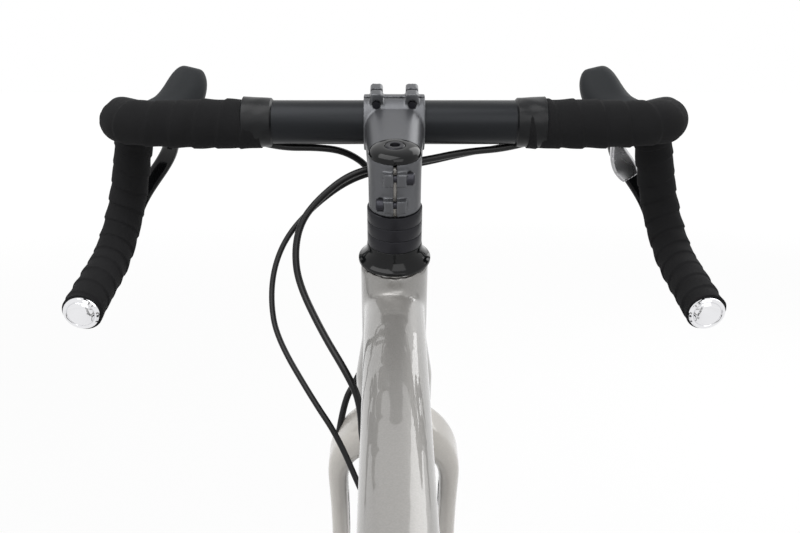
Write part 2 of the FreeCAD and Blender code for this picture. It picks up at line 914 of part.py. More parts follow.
def make_fork():
    """Steerer, crown and two legs, one piece."""
    down = size("fork_leg_length")
    side = size("fork_shoulder_side")
    sections = []
    for along, ahead, out, lean, width, depth in FORK_SHARES:
        centre = steer(-along * down, ahead * size("fork_offset"), out * side)
        tilt = math.radians(lean)
        across = ACROSS * math.cos(tilt) + STEER_UP * math.sin(tilt)
        sections.append(rounded(centre, across, STEER_AHEAD, width * side, depth * side, 0.8))
    half = size("front_axle_width / 2")
    outside = half + size("fork_end_thickness")
    boss = across_rod(size("fork_end_radius"), FRONT_AXLE, half, outside)
    eye_centre = FRONT_AXLE + STEER_UP * size("eyelet_up") - STEER_AHEAD * size("eyelet_back")
    eye = across_rod(size("eyelet_radius"), eye_centre, half, outside)
    leg = lofted(sections).fuse([boss, eye])
    other = leg.mirror(spot(0, 0, 0), ACROSS)
    core_top = -size("crown_gap")
    core = Part.makeCylinder(
        size("lower_bearing_radius"), size("lower_bearing_radius"),
        steer(core_top - size("lower_bearing_radius"), 0, 0), STEER_UP,
    )
    hole = across_rod(size("axle_radius"), FRONT_AXLE, -2 * outside, 2 * outside)
    eye_hole = across_rod(size("boss_hole_radius"), eye_centre, -2 * outside, 2 * outside)
    inside = across_rod(size("2 * fork_end_radius"), FRONT_AXLE, -half, half)
    room = across_rod(AXLE_HEIGHT + size("boss_radius"), FRONT_AXLE, -size("tyre_width / 2 + boss_radius"),
                      size("tyre_width / 2 + boss_radius"))
    seats = [
        across_rod(size("axle_head_radius + part_gap"), FRONT_AXLE, outside, 2 * outside),
        across_rod(size("axle_head_radius + part_gap"), FRONT_AXLE, -2 * outside, -outside),
    ]
    legs = leg.fuse([other, core]).cut([hole, eye_hole, inside, room] + seats)
    whole = legs.fuse(now(steerer()))
    node("fork", solid("fork", whole))


def steerer():
    """Tapered tube with the crown race at its foot."""
    top = f"({STACK_TOP} + stem_clamp_height - cap_edge - part_gap)"
    return turned(
        "steerer",
        [[
            ("steerer_bore_radius", "-crown_gap - bearing_height"),
            ("steerer_lower_radius", "-crown_gap - bearing_height"),
            ("steerer_lower_radius", "-crown_gap"),
            ("lower_bearing_radius - part_gap", "-crown_gap"),
            ("lower_bearing_radius - part_gap", "-part_gap"),
            ("steerer_lower_radius", "-part_gap"),
            ("steerer_lower_radius", "bearing_height + part_gap"),
            ("steerer_radius", "bearing_height + steerer_taper"),
            ("steerer_radius", top),
            ("steerer_bore_radius", top),
        ]],
        STEER_PLACE,
    )


def stem_spot():
    """Middle of the steerer clamp, and the direction of the stem."""
    middle = steer(size(f"{STACK_TOP} + stem_clamp_height / 2"), 0, 0)
    rise = angle("stem_rise")
    way = STEER_AHEAD * math.cos(rise) + STEER_UP * math.sin(rise)
    return middle, way


def bar_centre():
    middle, way = stem_spot()
    return middle + way * size("stem_length")


def make_stem():
    """Stem body with its rear slot, faceplate and six bolts."""
    middle, way = stem_spot()
    up = way.cross(ACROSS)
    bar = bar_centre()
    low = middle - STEER_UP * size("stem_clamp_height / 2")
    clamp = Part.makeCylinder(size("stem_clamp_radius"), size("stem_clamp_height"), low, STEER_UP)
    body = lofted([
        rounded(middle, ACROSS, up, size("stem_body_width"), size("stem_body_height"), 0.7),
        rounded(bar, ACROSS, up, size("bar_clamp_width"), size("stem_body_height"), 0.7),
    ])
    half = size("bar_clamp_width / 2")
    barrel = across_rod(size("bar_clamp_radius"), bar, -half, half)
    ears = []
    high = size("2 * (bar_clamp_radius + ear_height)")
    for side in (-1, 1):
        centre = bar + ACROSS * (side * size("ear_spacing / 2"))
        ears.append(lofted([
            rounded(centre - way * size("ear_depth"), ACROSS, up, size("ear_width"), high, 0.5),
            rounded(centre + way * size("ear_depth"), ACROSS, up, size("ear_width"), high, 0.5),
        ]))
    barrel = barrel.fuse(ears)
    bar_hole = across_rod(size("bar_radius"), bar, -2 * half, 2 * half)
    steer_hole = Part.makeCylinder(
        size("steerer_radius"), size("2 * stem_clamp_height"),
        low - STEER_UP * size("stem_clamp_height / 2"), STEER_UP,
    )
    reach = size("2 * bar_clamp_radius")
    split = size("faceplate_gap / 2")
    front = lofted([
        rounded(bar + way * -split, ACROSS, up, 2 * half + reach, 2 * reach, 0.1),
        rounded(bar + way * reach, ACROSS, up, 2 * half + reach, 2 * reach, 0.1),
    ])
    rear = lofted([
        rounded(bar + way * split, ACROSS, up, 2 * half + reach, 2 * reach, 0.1),
        rounded(bar - way * reach, ACROSS, up, 2 * half + reach, 2 * reach, 0.1),
    ])
    slot, windows = stem_cuts(middle)
    bolts, holes = stem_bolts(middle, way, up, bar)
    cutters = [bar_hole, steer_hole, front, slot] + windows + holes
    whole = clamp.fuse([body, barrel] + stem_lugs(middle)).cut(cutters)
    node("stem", solid("stem", whole))
    plate = barrel.cut([bar_hole, rear] + holes)
    node("stem_faceplate", solid("stem_faceplate", plate))
    node("stem_bolts", group("stem_bolts", bolts))


CLAMP_BOLT_BACK = "steerer_radius + stem_bolt_radius + part_gap"


def stem_lugs(middle):
    """Raised lugs behind the clamp that its two screws pass through."""
    half = STEER_UP * size("stem_window_height / 2")
    lugs = []
    for level in (-1, 1):
        centre = middle + STEER_UP * (level * size("stem_clamp_height / 4"))
        centre = centre - STEER_AHEAD * size(CLAMP_BOLT_BACK)
        lugs.append(lofted([
            rounded(end, ACROSS, STEER_AHEAD, size("stem_window_width"), size("stem_lug_depth"), 0.4)
            for end in (centre - half, centre + half)
        ]))
    return lugs


def stem_cuts(middle):
    """Slot and two bolt windows in the rear of the steerer clamp."""
    back = STEER_AHEAD * -1
    deep = size("2 * stem_clamp_radius")
    slot_wide = size("stem_slot")
    tall = size("2 * stem_clamp_height")
    slot = lofted([
        rounded(middle, ACROSS, STEER_UP, slot_wide, tall, 0.1),
        rounded(middle + back * deep, ACROSS, STEER_UP, slot_wide, tall, 0.1),
    ])
    windows = []
    for level in (-1, 1):
        centre = middle + STEER_UP * (level * size("stem_clamp_height / 4"))
        start = size("stem_clamp_radius - stem_window_depth / 4")
        for side in (-1, 1):
            aside = ACROSS * (side * size("stem_window_width / 2 + stem_slot"))
            windows.append(lofted([
                rounded(centre + aside + back * start, ACROSS, STEER_UP,
                        size("stem_window_depth"), size("stem_window_height"), 0.3),
                rounded(centre + aside + back * deep, ACROSS, STEER_UP,
                        size("stem_window_depth"), size("stem_window_height"), 0.3),
            ]))
    return slot, windows


def cap_screw(label, head_seat, way, length):
    """Screw with its head seat at a place, pointing along way, with a hex socket."""
    right = ACROSS if abs(way.y) < abs(way.x) + abs(way.z) else UP
    socket = "stem_bolt_radius"
    screw = turned(
        label,
        [[
            ("0", "0"),
            ("stem_bolt_radius", "0"),
            ("stem_bolt_radius", length),
            ("stem_bolt_head_radius", length),
            ("stem_bolt_head_radius", f"{length} + stem_bolt_head * 0.85"),
            ("stem_bolt_head_radius * 0.88", f"{length} + stem_bolt_head"),
            (socket, f"{length} + stem_bolt_head"),
            (socket, f"{length} + stem_bolt_head * 0.45"),
            ("0", f"{length} + stem_bolt_head * 0.45"),
        ]],
        facing(head_seat + way * size(length), way * -1, right),
    )
    hole = Part.makeCylinder(size("stem_bolt_radius"), size(length), head_seat, way)
    head = Part.makeCylinder(
        size("stem_bolt_head_radius"), size("2 * stem_bolt_head"),
        head_seat - way * size("2 * stem_bolt_head"), way,
    )
    return screw, [hole, head]


def stem_bolts(middle, way, up, bar):
    """Two clamp screws behind the steerer and four screws through the faceplate."""
    bolts = []
    holes = []
    for level, side in ((1, -1), (-1, 1)):
        centre = middle + STEER_UP * (level * size("stem_clamp_height / 4"))
        back = centre - STEER_AHEAD * size(CLAMP_BOLT_BACK)
        start = back + ACROSS * (side * size("stem_window_width / 2 - stem_bolt_head_radius / 2"))
        length = "stem_window_width - stem_bolt_head_radius"
        bolt, hole = cap_screw(f"clamp_bolt_{level + 1}", start, ACROSS * -side, length)
        bolts.append(bolt)
        holes += hole
    for side in (-1, 1):
        for level in (-1, 1):
            high = size("bar_radius + stem_bolt_radius + part_gap")
            place = bar + ACROSS * (side * size("ear_spacing / 2")) + up * (level * (high + size("part_gap")))
            seat_at = place + way * size("ear_depth * 3 / 4")
            label = f"plate_bolt_{side + 1}_{level + 1}"
            bolt, hole = cap_screw(label, seat_at, way * -1, "2 * ear_depth")
            bolts.append(bolt)
            holes += hole
    return bolts, holes


def bar_plane(forward, down):
    """Place on the left half of the bar, in its flared and rolled drop plane."""
    flare = angle("bar_flare")
    roll = angle("bar_roll")
    fall = down * math.cos(flare)
    x = forward * math.cos(roll) + fall * math.sin(roll)
    z = forward * math.sin(roll) - fall * math.cos(roll)
    return bar_centre() + spot(x, size("bar_width / 2") + down * math.sin(flare), z)


def bar_corners():
    reach = size("bar_reach")
    drop = size("bar_drop")
    tail = size("bar_tail")
    fall = tail * math.tan(angle("bar_tail_tilt"))
    return [
        bar_centre(),
        bar_plane(0, 0),
        bar_plane(reach, size("bar_ramp_fall")),
        bar_plane(reach, drop),
        bar_plane(-tail, drop + fall),
    ]


def left_bar_path():
    radii = [size(f"bar_{part}_radius") for part in ("bend", "hook", "lower")]
    return bent_path(bar_corners(), radii)


def make_handlebar():
    left = swept("left_bar", left_bar_path(), "bar_drop_radius")
    right = mirrored("right_bar", left)
    middle = turned(
        "bar_tops",
        [[
            ("0", "-bar_tops_half - bar_tops_taper"),
            ("bar_drop_radius", "-bar_tops_half - bar_tops_taper"),
            ("bar_radius", "-bar_tops_half"),
            ("bar_radius", "bar_tops_half"),
            ("bar_drop_radius", "bar_tops_half + bar_tops_taper"),
            ("0", "bar_tops_half + bar_tops_taper"),
        ]],
        facing(bar_centre(), ACROSS, AHEAD),
    )
    node("handlebar", fuse("handlebar", [left, right, middle]))


def path_stations(path, start, end, count):
    """Distances, places and directions at even steps along part of a wire."""
    edges = path.OrderedEdges
    stations = []
    for i in range(count + 1):
        along = start + (end - start) * i / count
        left = along
        for edge in edges:
            if left <= edge.Length or edge is edges[-1]:
                break
            left -= edge.Length
        at = edge.getParameterByLength(min(left, edge.Length))
        stations.append((along, edge.valueAt(at), edge.tangentAt(at)))
    return stations


def bar_radius_at(along):
    """Bare bar radius at a distance along its left half."""
    wide = size("bar_radius")
    narrow = size("bar_drop_radius")
    share = (along - size("bar_tops_half")) / size("bar_tops_taper")
    return wide + (narrow - wide) * min(max(share, 0), 1)


def tape_run(start, end):
    """Wound tape on one stretch of the bar, with a step at each turn."""
    gap = size("part_gap")
    thin = size("tape_thickness")
    thick = size("tape_drop_thickness")
    turns = max(round((end - start) / size("tape_pitch")), 1)
    outer = []
    inner = []
    for i, (along, place, way) in enumerate(path_stations(left_bar_path(), start, end, 2 * turns)):
        base = bar_radius_at(along) + gap
        share = min(max(along / size("bar_tops_half") - 1, 0), 1)
        least = size("bar_drop_radius") + thick * (2 - share / 2)
        radius = max(base + thin, least) + size("tape_ridge") * (i % 2)
        outer.append(Part.Wire(Part.Circle(place, way, radius).toShape()))
        inner.append(Part.Wire(Part.Circle(place, way, base + gap / 2).toShape()))
    return Part.makeLoft(outer, True, True).cut(Part.makeLoft(inner, True, True))


def make_bar_tape():
    """Tape, finishing bands and end plugs on both halves of the bar."""
    upper = tape_run(size("band_place + band_width"), size("tape_hood_start"))
    lower = tape_run(size("tape_hood_end"), left_bar_path().Length)
    left = solid("bar_tape_left", Part.makeCompound([upper, lower]))
    node("bar_tape_left", left)
    node("bar_tape_right", mirrored("bar_tape_right", left))
    place = facing(bar_centre(), ACROSS, AHEAD)
    band = ring(
        "left_band",
        "bar_radius",
        "bar_radius + band_thickness",
        "band_place",
        "band_place + band_width - part_gap",
        place,
    )
    node("finishing_bands", group("finishing_bands", [band, mirrored("right_band", band)]))
    end, way = bar_end()
    plug = turned(
        "left_plug",
        [
            [
                ("0", "0"),
                ("plug_radius", "0"),
                ("plug_radius", "plug_height * 0.3"),
                ("plug_radius * 0.86", "plug_height * 0.7"),
                ("plug_radius * 0.55", "plug_height"),
                ("0", "plug_height"),
            ]
        ],
        facing(end, way, ACROSS),
    )
    node("bar_end_plugs", group("bar_end_plugs", [plug, mirrored("right_plug", plug)]))


def bar_end():
    corners = bar_corners()
    return corners[-1], (corners[-1] - corners[-2]).normalize()


# hood rows: ahead, inward and up from the bar's bend, then width and height, all as shares
HOOD_SHARES = (
    (0.33, 0.00, -0.01, 0.36, 0.34),
    (0.55, 0.02, -0.02, 0.37, 0.35),
    (0.80, 0.06, -0.04, 0.37, 0.37),
    (1.00, 0.13, 0.00, 0.36, 0.40),
    (1.13, 0.21, 0.11, 0.35, 0.38),
    (1.20, 0.27, 0.25, 0.30, 0.28),
    (1.22, 0.29, 0.335, 0.17, 0.14),
)
# lever rows, counted the same way
LEVER_SHARES = (
    (1.08, 0.15, -0.12, 0.12, 0.11),
    (1.22, 0.13, -0.20, 0.13, 0.10),
    (1.38, 0.05, -0.37, 0.145, 0.085),
    (1.45, -0.17, -0.67, 0.15, 0.075),
    (1.42, -0.33, -1.00, 0.15, 0.070),
    (1.33, -0.39, -1.20, 0.11, 0.060),
)
# shift paddle rows, counted the same way
PADDLE_SHARES = (
    (1.08, 0.15, -0.215, 0.09, 0.060),
    (1.14, 0.11, -0.33, 0.15, 0.055),
    (1.20, 0.03, -0.47, 0.20, 0.045),
    (1.20, -0.03, -0.56, 0.15, 0.040),
)


def lever_spot(ahead, inward, up):
    reach = size("lever_length")
    side = size("bar_width / 2") - inward * reach
    return bar_centre() + spot(ahead * reach, side, up * reach)


def shaped(shares, scale, share):
    """Left-hand loft through rows of shares, its sections square to the way it runs."""
    centres = [lever_spot(*row[:3]) for row in shares]
    flare = angle("bar_flare")
    right = spot(0, math.cos(flare), math.sin(flare))
    sections = []
    for i, row in enumerate(shares):
        before = centres[max(i - 1, 0)]
        after = centres[min(i + 1, len(centres) - 1)]
        way = (after - before).normalize()
        out = (right - way * right.dot(way)).normalize()
        up = way.cross(out)
        sections.append(rounded(centres[i], out, up, row[3] * scale, row[4] * scale, share))
    return lofted(sections)


def make_levers():
    """Hoods, brake levers on pins, and the shift paddle on the right."""
    pivot = lever_spot(*LEVER_SHARES[0][:3])
    half = size("lever_boss_width / 2")
    gap = size("part_gap")
    pin_half = size("lever_pin_length / 2")
    pin = across_rod(size("lever_pin_radius"), pivot, pivot.y - pin_half, pivot.y + pin_half)
    room = size("lever_boss_radius") + 3 * gap
    low = pivot.y - half - gap
    high = pivot.y + half + gap
    pocket = across_rod(room, pivot, low, high)
    mouth = Part.makeBox(
        4 * room, high - low + 2 * gap, 5 * room, spot(pivot.x - room, low - gap, pivot.z - 4.5 * room)
    )
    tube = left_bar_path().makePipeShell(
        [Part.Wire(Part.Circle(bar_centre(), ACROSS, size("bar_drop_radius + part_gap / 2")).toShape())],
        True,
        False,
    )
    hood = shaped(HOOD_SHARES, size("hood_length"), 0.75)
    hood = hood.cut([tube, pocket, mouth, pin])
    hood = max(hood.Solids, key=lambda s: s.Volume)
    left = solid("lever_hood_left", hood)
    node("lever_hood_left", left)
    node("lever_hood_right", mirrored("lever_hood_right", left))
    left_pin = solid("left_pin", pin)
    node("lever_pivot_pins", group("lever_pivot_pins", [left_pin, mirrored("right_pin", left_pin)]))
    boss = across_rod(size("lever_boss_radius"), pivot, pivot.y - half, pivot.y + half)
    bore = across_rod(
        size("lever_pin_radius + running_gap"), pivot, pivot.y - 2 * half, pivot.y + 2 * half
    )
    root = lever_spot(*PADDLE_SHARES[0][:3])
    hinge = Part.makeCylinder(size("paddle_pin_radius"), size("paddle_pin_length"),
                              root - AHEAD * size("paddle_pin_length / 6"), AHEAD)
    hinge_hole = Part.makeCylinder(size("paddle_pin_radius + running_gap"), size("paddle_pin_length"),
                                   root - AHEAD * size("paddle_pin_length / 6 - part_gap"), AHEAD)
    blade = shaped(LEVER_SHARES, size("lever_length"), 0.8).fuse(boss).cut([bore, hinge_hole])
    blade = max(blade.Solids, key=lambda s: s.Volume)
    left_lever = solid("brake_lever_left", blade)
    node("brake_lever_left", left_lever)
    node("brake_lever_right", mirrored("brake_lever_right", left_lever))
    room = size("lever_boss_radius + paddle_room")
    keep_off = across_rod(room, pivot, pivot.y - 2 * half, pivot.y + 2 * half)
    arm = shaped(LEVER_SHARES, size("lever_length"), 0.8)
    arm.translate(UP * -size("paddle_room"))
    paddle = shaped(PADDLE_SHARES, size("lever_length"), 0.7).cut([keep_off, arm])
    paddle = max(paddle.Solids, key=lambda s: s.Volume).fuse(hinge)
    paddle = paddle.mirror(spot(0, 0, 0), ACROSS)
    node("shift_paddle", solid("shift_paddle", paddle))


# cable rows: along, ahead and side from the head tube's top as shares of the loop
REAR_HOSE_SHARES = (
    (0.474, 0.738, -0.512),
    (0.425, 0.699, -0.224),
    (0.393, 0.671, 0.070),
    (0.351, 0.622, 0.326),
    (0.192, 0.548, 0.548),
    (0.041, 0.456, 0.688),
    (-0.142, 0.331, 0.731),
    (-0.327, 0.185, 0.698),
    (-0.546, -0.110, 0.519),
    (-0.708, -0.386, 0.330),
)
SHIFT_CABLE_SHARES = (
    (0.430, 0.800, -0.517),
    (0.358, 0.790, -0.224),
    (0.318, 0.770, 0.071),
    (0.265, 0.699, 0.332),
    (0.114, 0.617, 0.572),
    (-0.070, 0.503, 0.781),
    (-0.265, 0.364, 0.890),
    (-0.465, 0.181, 0.913),
    (-0.651, -0.039, 0.856),
    (-0.912, -0.422, 0.576),
    (-1.075, -0.624, 0.394),
)
FRONT_HOSE_SHARES = (
    (0.490, 0.785, 0.520),
    (0.430, 0.815, 0.330),
    (0.283, 0.840, 0.170),
    (-0.067, 0.820, 0.073),
    (-0.437, 0.740, 0.083),
    (-0.825, 0.590, 0.116),
    (-1.106, 0.420, 0.180),
    (-1.300, 0.270, 0.300),
    (-1.430, 0.160, 0.400),
)


# rear end rows: ahead of the axle and up as shares of the dropout's radius, side as a share
HOSE_TAIL_SHARES = (
    (9.0, 0.78, -1.0),
    (8.4, 0.80, 1.0),
    (6.4, 0.80, 2.0),
    (4.0, 0.80, 1.4),
)
SHIFT_TAIL_SHARES = (
    (3.8, 0.80, -0.6),
    (2.2, 0.98, 0.0),
    (-0.2, 1.0, 0.5),
    (-2.3, 1.0, 0.1),
    (-3.2, 1.0, -1.2),
    (-2.2, 1.0, -2.4),
    (-0.5, 1.0, -1.9),
)


def tail_rows(shares, side):
    reach = size("dropout_radius")
    return [REAR_AXLE + spot(a * reach, b * side, c * reach) for a, b, c in shares]


def tuck(side, turn, radius):
    """Place under the bar where a cable leaves the tape."""
    reach = size("bar_radius + part_gap") + radius
    below = spot(math.sin(turn), 0, -math.cos(turn)) * reach
    return bar_centre() + below + ACROSS * (side * size("band_place - part_gap"))


def loop_rows(shares):
    reach = size("cable_loop")
    return [steer(HEAD_TOP + a * reach, b * reach, c * reach) for a, b, c in shares]


def port(place):
    """Entry in the down tube's left side, and a place inside the tube behind it."""
    start, way, length = down_tube_line()
    share = place / length
    wide = size("down_tube_head_width") * (1 - share) + size("down_tube_foot_width") * share
    face = start + way * place + ACROSS * (wide / 2)
    return face, face + way * (wide / 2) - ACROSS * (wide / 4)


def cable(label, corners, radius, blocks):
    """Cable through corners, ended where it goes into another piece."""
    radii = widest_radii(corners)
    print(label, "radii", [round(r, 1) for r in radii])
    path = bent_path(corners, radii)
    shape = now(swept(label, path, radius))
    section = math.pi * size(radius) ** 2
    print(label, "length", round(path.Length, 1), "fill", round(shape.Volume / section / path.Length, 4))
    if blocks:
        shape = max(shape.cut(blocks).Solids, key=lambda s: s.Volume)
    return solid(label + "_ended", shape)


def make_cables():
    """Two cables from the bar into the down tube, with their rear ends, and the front hose."""
    tube = down_tube_block(0)
    hose_port = port(size("hose_port_place"))
    shift_port = port(size("shift_port_place"))
    hose = cable(
        "rear_hose",
        [tuck(-1, angle("hose_tuck_angle"), size("hose_radius"))]
        + loop_rows(REAR_HOSE_SHARES) + list(hose_port),
        "hose_radius", [tube],
    )
    shift = cable(
        "shift_housing",
        [tuck(-1, angle("shift_tuck_angle"), size("shift_radius"))]
        + loop_rows(SHIFT_CABLE_SHARES) + list(shift_port),
        "shift_radius", [tube],
    )
    front = cable(
        "front_hose",
        [tuck(1, angle("hose_tuck_angle"), size("hose_radius"))]
        + loop_rows(FRONT_HOSE_SHARES)
        + [steer(-size("fork_leg_length") * 0.1, 0, size("fork_shoulder_side"))],
        "hose_radius", [NODES["fork"].Shape],
    )
    node("front_brake_hose", front)
    hose_tail = cable(
        "hose_tail", tail_rows(HOSE_TAIL_SHARES, size("rear_axle_width / 2")), "hose_radius",
        [NODES["rear_stays"].Shape, NODES["rear_brake_caliper"].Shape],
    )
    knuckle = "dropout_thickness + hanger_thickness + knuckle_width / 2"
    shift_tail = cable(
        "shift_tail", tail_rows(SHIFT_TAIL_SHARES, -size(f"rear_axle_width / 2 + {knuckle}")),
        "shift_radius", [NODES["rear_stays"].Shape, NODES["rear_derailleur"].Shape],
    )
    node("control_cables", group("control_cables", [hose, shift, hose_tail, shift_tail]))


RIM_EDGE = "(bead_seat_radius + rim_hook_height)"
RIM_INNER = f"({RIM_EDGE} - rim_depth)"


def wheel_place(centre):
    return facing(centre, ACROSS, AHEAD)


def make_rim(label, centre):
    half = "rim_width / 2"
    nose = "rim_nose_width / 2"
    shoulder = f"{RIM_INNER} + rim_depth * 0.35"
    bed = "bead_seat_radius - rim_wall"
    inner = f"({half} - rim_hook_width)"
    outline = [
        (RIM_INNER, f"-{nose}"),
        (RIM_INNER, nose),
        (shoulder, half),
        (RIM_EDGE, half),
        (RIM_EDGE, inner),
        (bed, inner),
        (bed, f"-{inner}"),
        (RIM_EDGE, f"-{inner}"),
        (RIM_EDGE, f"-{half}"),
        (shoulder, f"-{half}"),
    ]
    wall = "rim_wall"
    hollow = [
        (f"{RIM_INNER} + {wall}", f"-({nose} - {wall} / 2)"),
        (f"{RIM_INNER} + {wall}", f"{nose} - {wall} / 2"),
        (f"{shoulder} + {wall} / 2", f"{half} - {wall}"),
        (f"{bed} - {wall}", f"{half} - {wall}"),
        (f"{bed} - {wall}", f"-({half} - {wall})"),
        (f"{shoulder} + {wall} / 2", f"-({half} - {wall})"),
    ]
    node(label, turned(label, [outline, hollow], wheel_place(centre)))


def make_tyre(label, centre):
    """Hollow tyre whose beads sit on the rim's edges."""
    place = wheel_place(centre)
    tori = []
    for part, radius in (("_outer", "tyre_width / 2"), ("_room", "tyre_width / 2 - tyre_wall")):
        torus = doc.addObject("Part::Torus", label + part)
        held(torus, "Radius1", "bead_seat_radius + tyre_width / 2")
        held(torus, "Radius2", radius)
        torus.Placement = place
        tori.append(torus)
    low = centre - ACROSS * size("tyre_width")
    well = rod(label + "_well", RIM_EDGE, "2 * tyre_width", facing(low, ACROSS, AHEAD))
    node(label, cut(label, tori[0], [tori[1], well]))


def make_spokes(label, centre, left, right):
    """Crossed spokes with their nipples."""
    count = int(size("spoke_count"))
    reach = size(RIM_INNER)
    radius = size("spoke_radius")
    cross = angle("spoke_cross_angle")
    shapes = []
    for i in range(count):
        side = left if i % 2 == 0 else -right
        lead = 1 if (i // 2) % 2 == 0 else -1
        rim_turn = 2 * math.pi * (i + 0.5) / count
        hub_turn = rim_turn + lead * cross
        off = lead * size("spoke_head_offset")
        near = size("flange_hole_radius")
        start = centre + spot(near * math.cos(hub_turn), side + off, near * math.sin(hub_turn))
        lean = math.copysign(size("rim_nose_width / 6"), side)
        end = centre + spot(reach * math.cos(rim_turn), lean, reach * math.sin(rim_turn))
        way = (end - start).normalize()
        end = end - way * size("nipple_radius / 3")
        length = (end - start).Length
        spoke = Part.makeCylinder(radius, length, start, way)
        foot = end - way * size("nipple_length")
        nipple = Part.makeCylinder(size("nipple_radius"), size("nipple_length"), foot, way)
        shapes.append(spoke.fuse(nipple).removeSplitter())
    node(label, solid(label, Part.makeCompound(shapes)))


def make_hub(label, centre, width, left, right):
    """Hub shell with two bearings and two end caps."""
    place = wheel_place(centre)
    disc = f"({width} / 2 - rotor_inset)"
    inner_face = f"({disc} - rotor_thickness / 2)"
    outer_face = f"({disc} + rotor_thickness / 2)"
    thick = "flange_thickness"
    foot = f"({right} + 1.25 * {thick})"
    waist = "hub_waist_radius"
    seat_radius = "hub_bearing_radius"
    bore = "(end_cap_radius - running_gap)"
    shell = turned(
        label + "_shell",
        [[
            (seat_radius, f"-{foot}"),
            (waist, f"-{foot}"),
            ("flange_radius", f"-({right} + {thick} / 2)"),
            ("flange_radius", f"-({right} - {thick} / 2)"),
            (waist, f"-({right} - 2 * {thick})"),
            (waist, f"{left} - 2 * {thick}"),
            ("flange_radius", f"{left} - {thick} / 2"),
            ("flange_radius", f"{left} + {thick} / 2"),
            (waist, f"{left} + {thick}"),
            ("rotor_bore_radius + rotor_seat / 2", f"{inner_face} - rotor_seat / 2"),
            ("rotor_bore_radius + rotor_seat / 2", inner_face),
            ("rotor_bore_radius", inner_face),
            ("rotor_bore_radius", outer_face),
            (seat_radius, outer_face),
            (seat_radius, f"{outer_face} - hub_bearing_width"),
            (bore, f"{outer_face} - hub_bearing_width"),
            (bore, f"hub_bearing_width - {foot}"),
            (seat_radius, f"hub_bearing_width - {foot}"),
        ]],
        place,
    )
    hole = "axle_radius + running_gap"
    right_bearing = ring(
        label + "_right_bearing", hole, seat_radius, f"-{foot}", f"hub_bearing_width - {foot}", place
    )
    left_bearing = ring(
        label + "_left_bearing", hole, seat_radius, f"{outer_face} - hub_bearing_width", outer_face,
        place,
    )
    right_cap = ring(
        label + "_right_cap", hole, "end_cap_radius", f"part_gap - {width} / 2", f"-{foot}", place
    )
    left_cap = ring(
        label + "_left_cap", hole, "end_cap_radius", outer_face, f"{width} / 2 - part_gap", place
    )
    node(label, group(label, [shell, right_bearing, left_bearing, right_cap, left_cap]))


def pocket_ring(body, sketch, label, count):
    """Through pocket repeated round the body's axis."""
    pocket = body.newObject("PartDesign::Pocket", label)
    pocket.Profile = sketch
    pocket.Type = "ThroughAll"
    pocket.Reversed = True
    repeat = body.newObject("PartDesign::PolarPattern", label + "_ring")
    repeat.Originals = [pocket]
    repeat.Axis = (sketch, ["N_Axis"])
    repeat.Angle = 360
    held(repeat, "Occurrences", count)
    body.Tip = repeat


def make_rotor(label, centre, width):
    """Brake disc with windows and a drilled track."""
    body = doc.addObject("PartDesign::Body", label)
    disc = sketch_on(body, "XY_Plane", label + "_disc")
    draw_circle(disc, "rotor_radius")
    draw_circle(disc, "rotor_bore_radius")
    pad = body.newObject("PartDesign::Pad", label + "_pad")
    pad.Profile = disc
    held(pad, "Length", "rotor_thickness")
    window = sketch_on(body, "XY_Plane", label + "_window")
    track = "(rotor_radius - rotor_track)"
    draw_polygon(window, [
        ("rotor_bore_radius * 1.35", "-rotor_bore_radius * 0.34"),
        (f"{track} * 0.91", f"-{track} * 0.36"),
        (f"{track} * 0.91", f"{track} * 0.36"),
        ("rotor_bore_radius * 1.35", "rotor_bore_radius * 0.34"),
    ])
    pocket_ring(body, window, label + "_windows", "rotor_window_count")
    hole = sketch_on(body, "XY_Plane", label + "_hole")
    middle = "(rotor_radius - rotor_track / 2)"
    half = "rotor_hole_radius / 2"
    draw_polygon(hole, [
        (f"{middle} - rotor_hole_radius", f"-{half}"),
        (middle, f"-{half} * 1.6"),
        (f"{middle} + rotor_hole_radius", f"-{half}"),
        (f"{middle} + rotor_hole_radius", half),
        (middle, f"{half} * 1.6"),
        (f"{middle} - rotor_hole_radius", half),
    ])
    pocket_ring(body, hole, label + "_holes", "rotor_hole_count")
    inside = centre + ACROSS * size(f"{width} / 2 - rotor_inset - rotor_thickness / 2")
    body.Placement = wheel_place(inside)
    node(label, body)


def make_axle(label, centre, width, left_end, right_end):
    """Through axle with a head on the left."""
    start = f"-({width} / 2 + {right_end})"
    face = f"({width} / 2 + {left_end})"
    axle = turned(
        label,
        [[
            ("0", start),
            ("axle_radius", start),
            ("axle_radius", face),
            ("axle_head_radius", face),
            ("axle_head_radius", f"{face} + axle_head * 0.7"),
            ("axle_head_radius * 0.8", f"{face} + axle_head"),
            ("axle_radius / 2", f"{face} + axle_head"),
            ("axle_radius / 2", face),
            ("0", face),
        ]],
        wheel_place(centre),
    )
    node(label, axle)


def make_wheels():
    for end, centre, width in (
        ("front", FRONT_AXLE, "front_axle_width"),
        ("rear", REAR_AXLE, "rear_axle_width"),
    ):
        left = f"{end}_flange_left"
        right = f"{end}_flange_right"
        make_rim(end + "_rim", centre)
        make_tyre(end + "_tyre", centre)
        make_spokes(end + "_spokes", centre, size(left), size(right))
        make_hub(end + "_hub", centre, width, left, right)
        make_rotor(end + "_rotor", centre, width)
    make_axle("front_thru_axle", FRONT_AXLE, "front_axle_width",
              "fork_end_thickness", "fork_end_thickness")
    make_axle("rear_thru_axle", REAR_AXLE, "rear_axle_width",
              "dropout_thickness", "(dropout_thickness + hanger_thickness)")


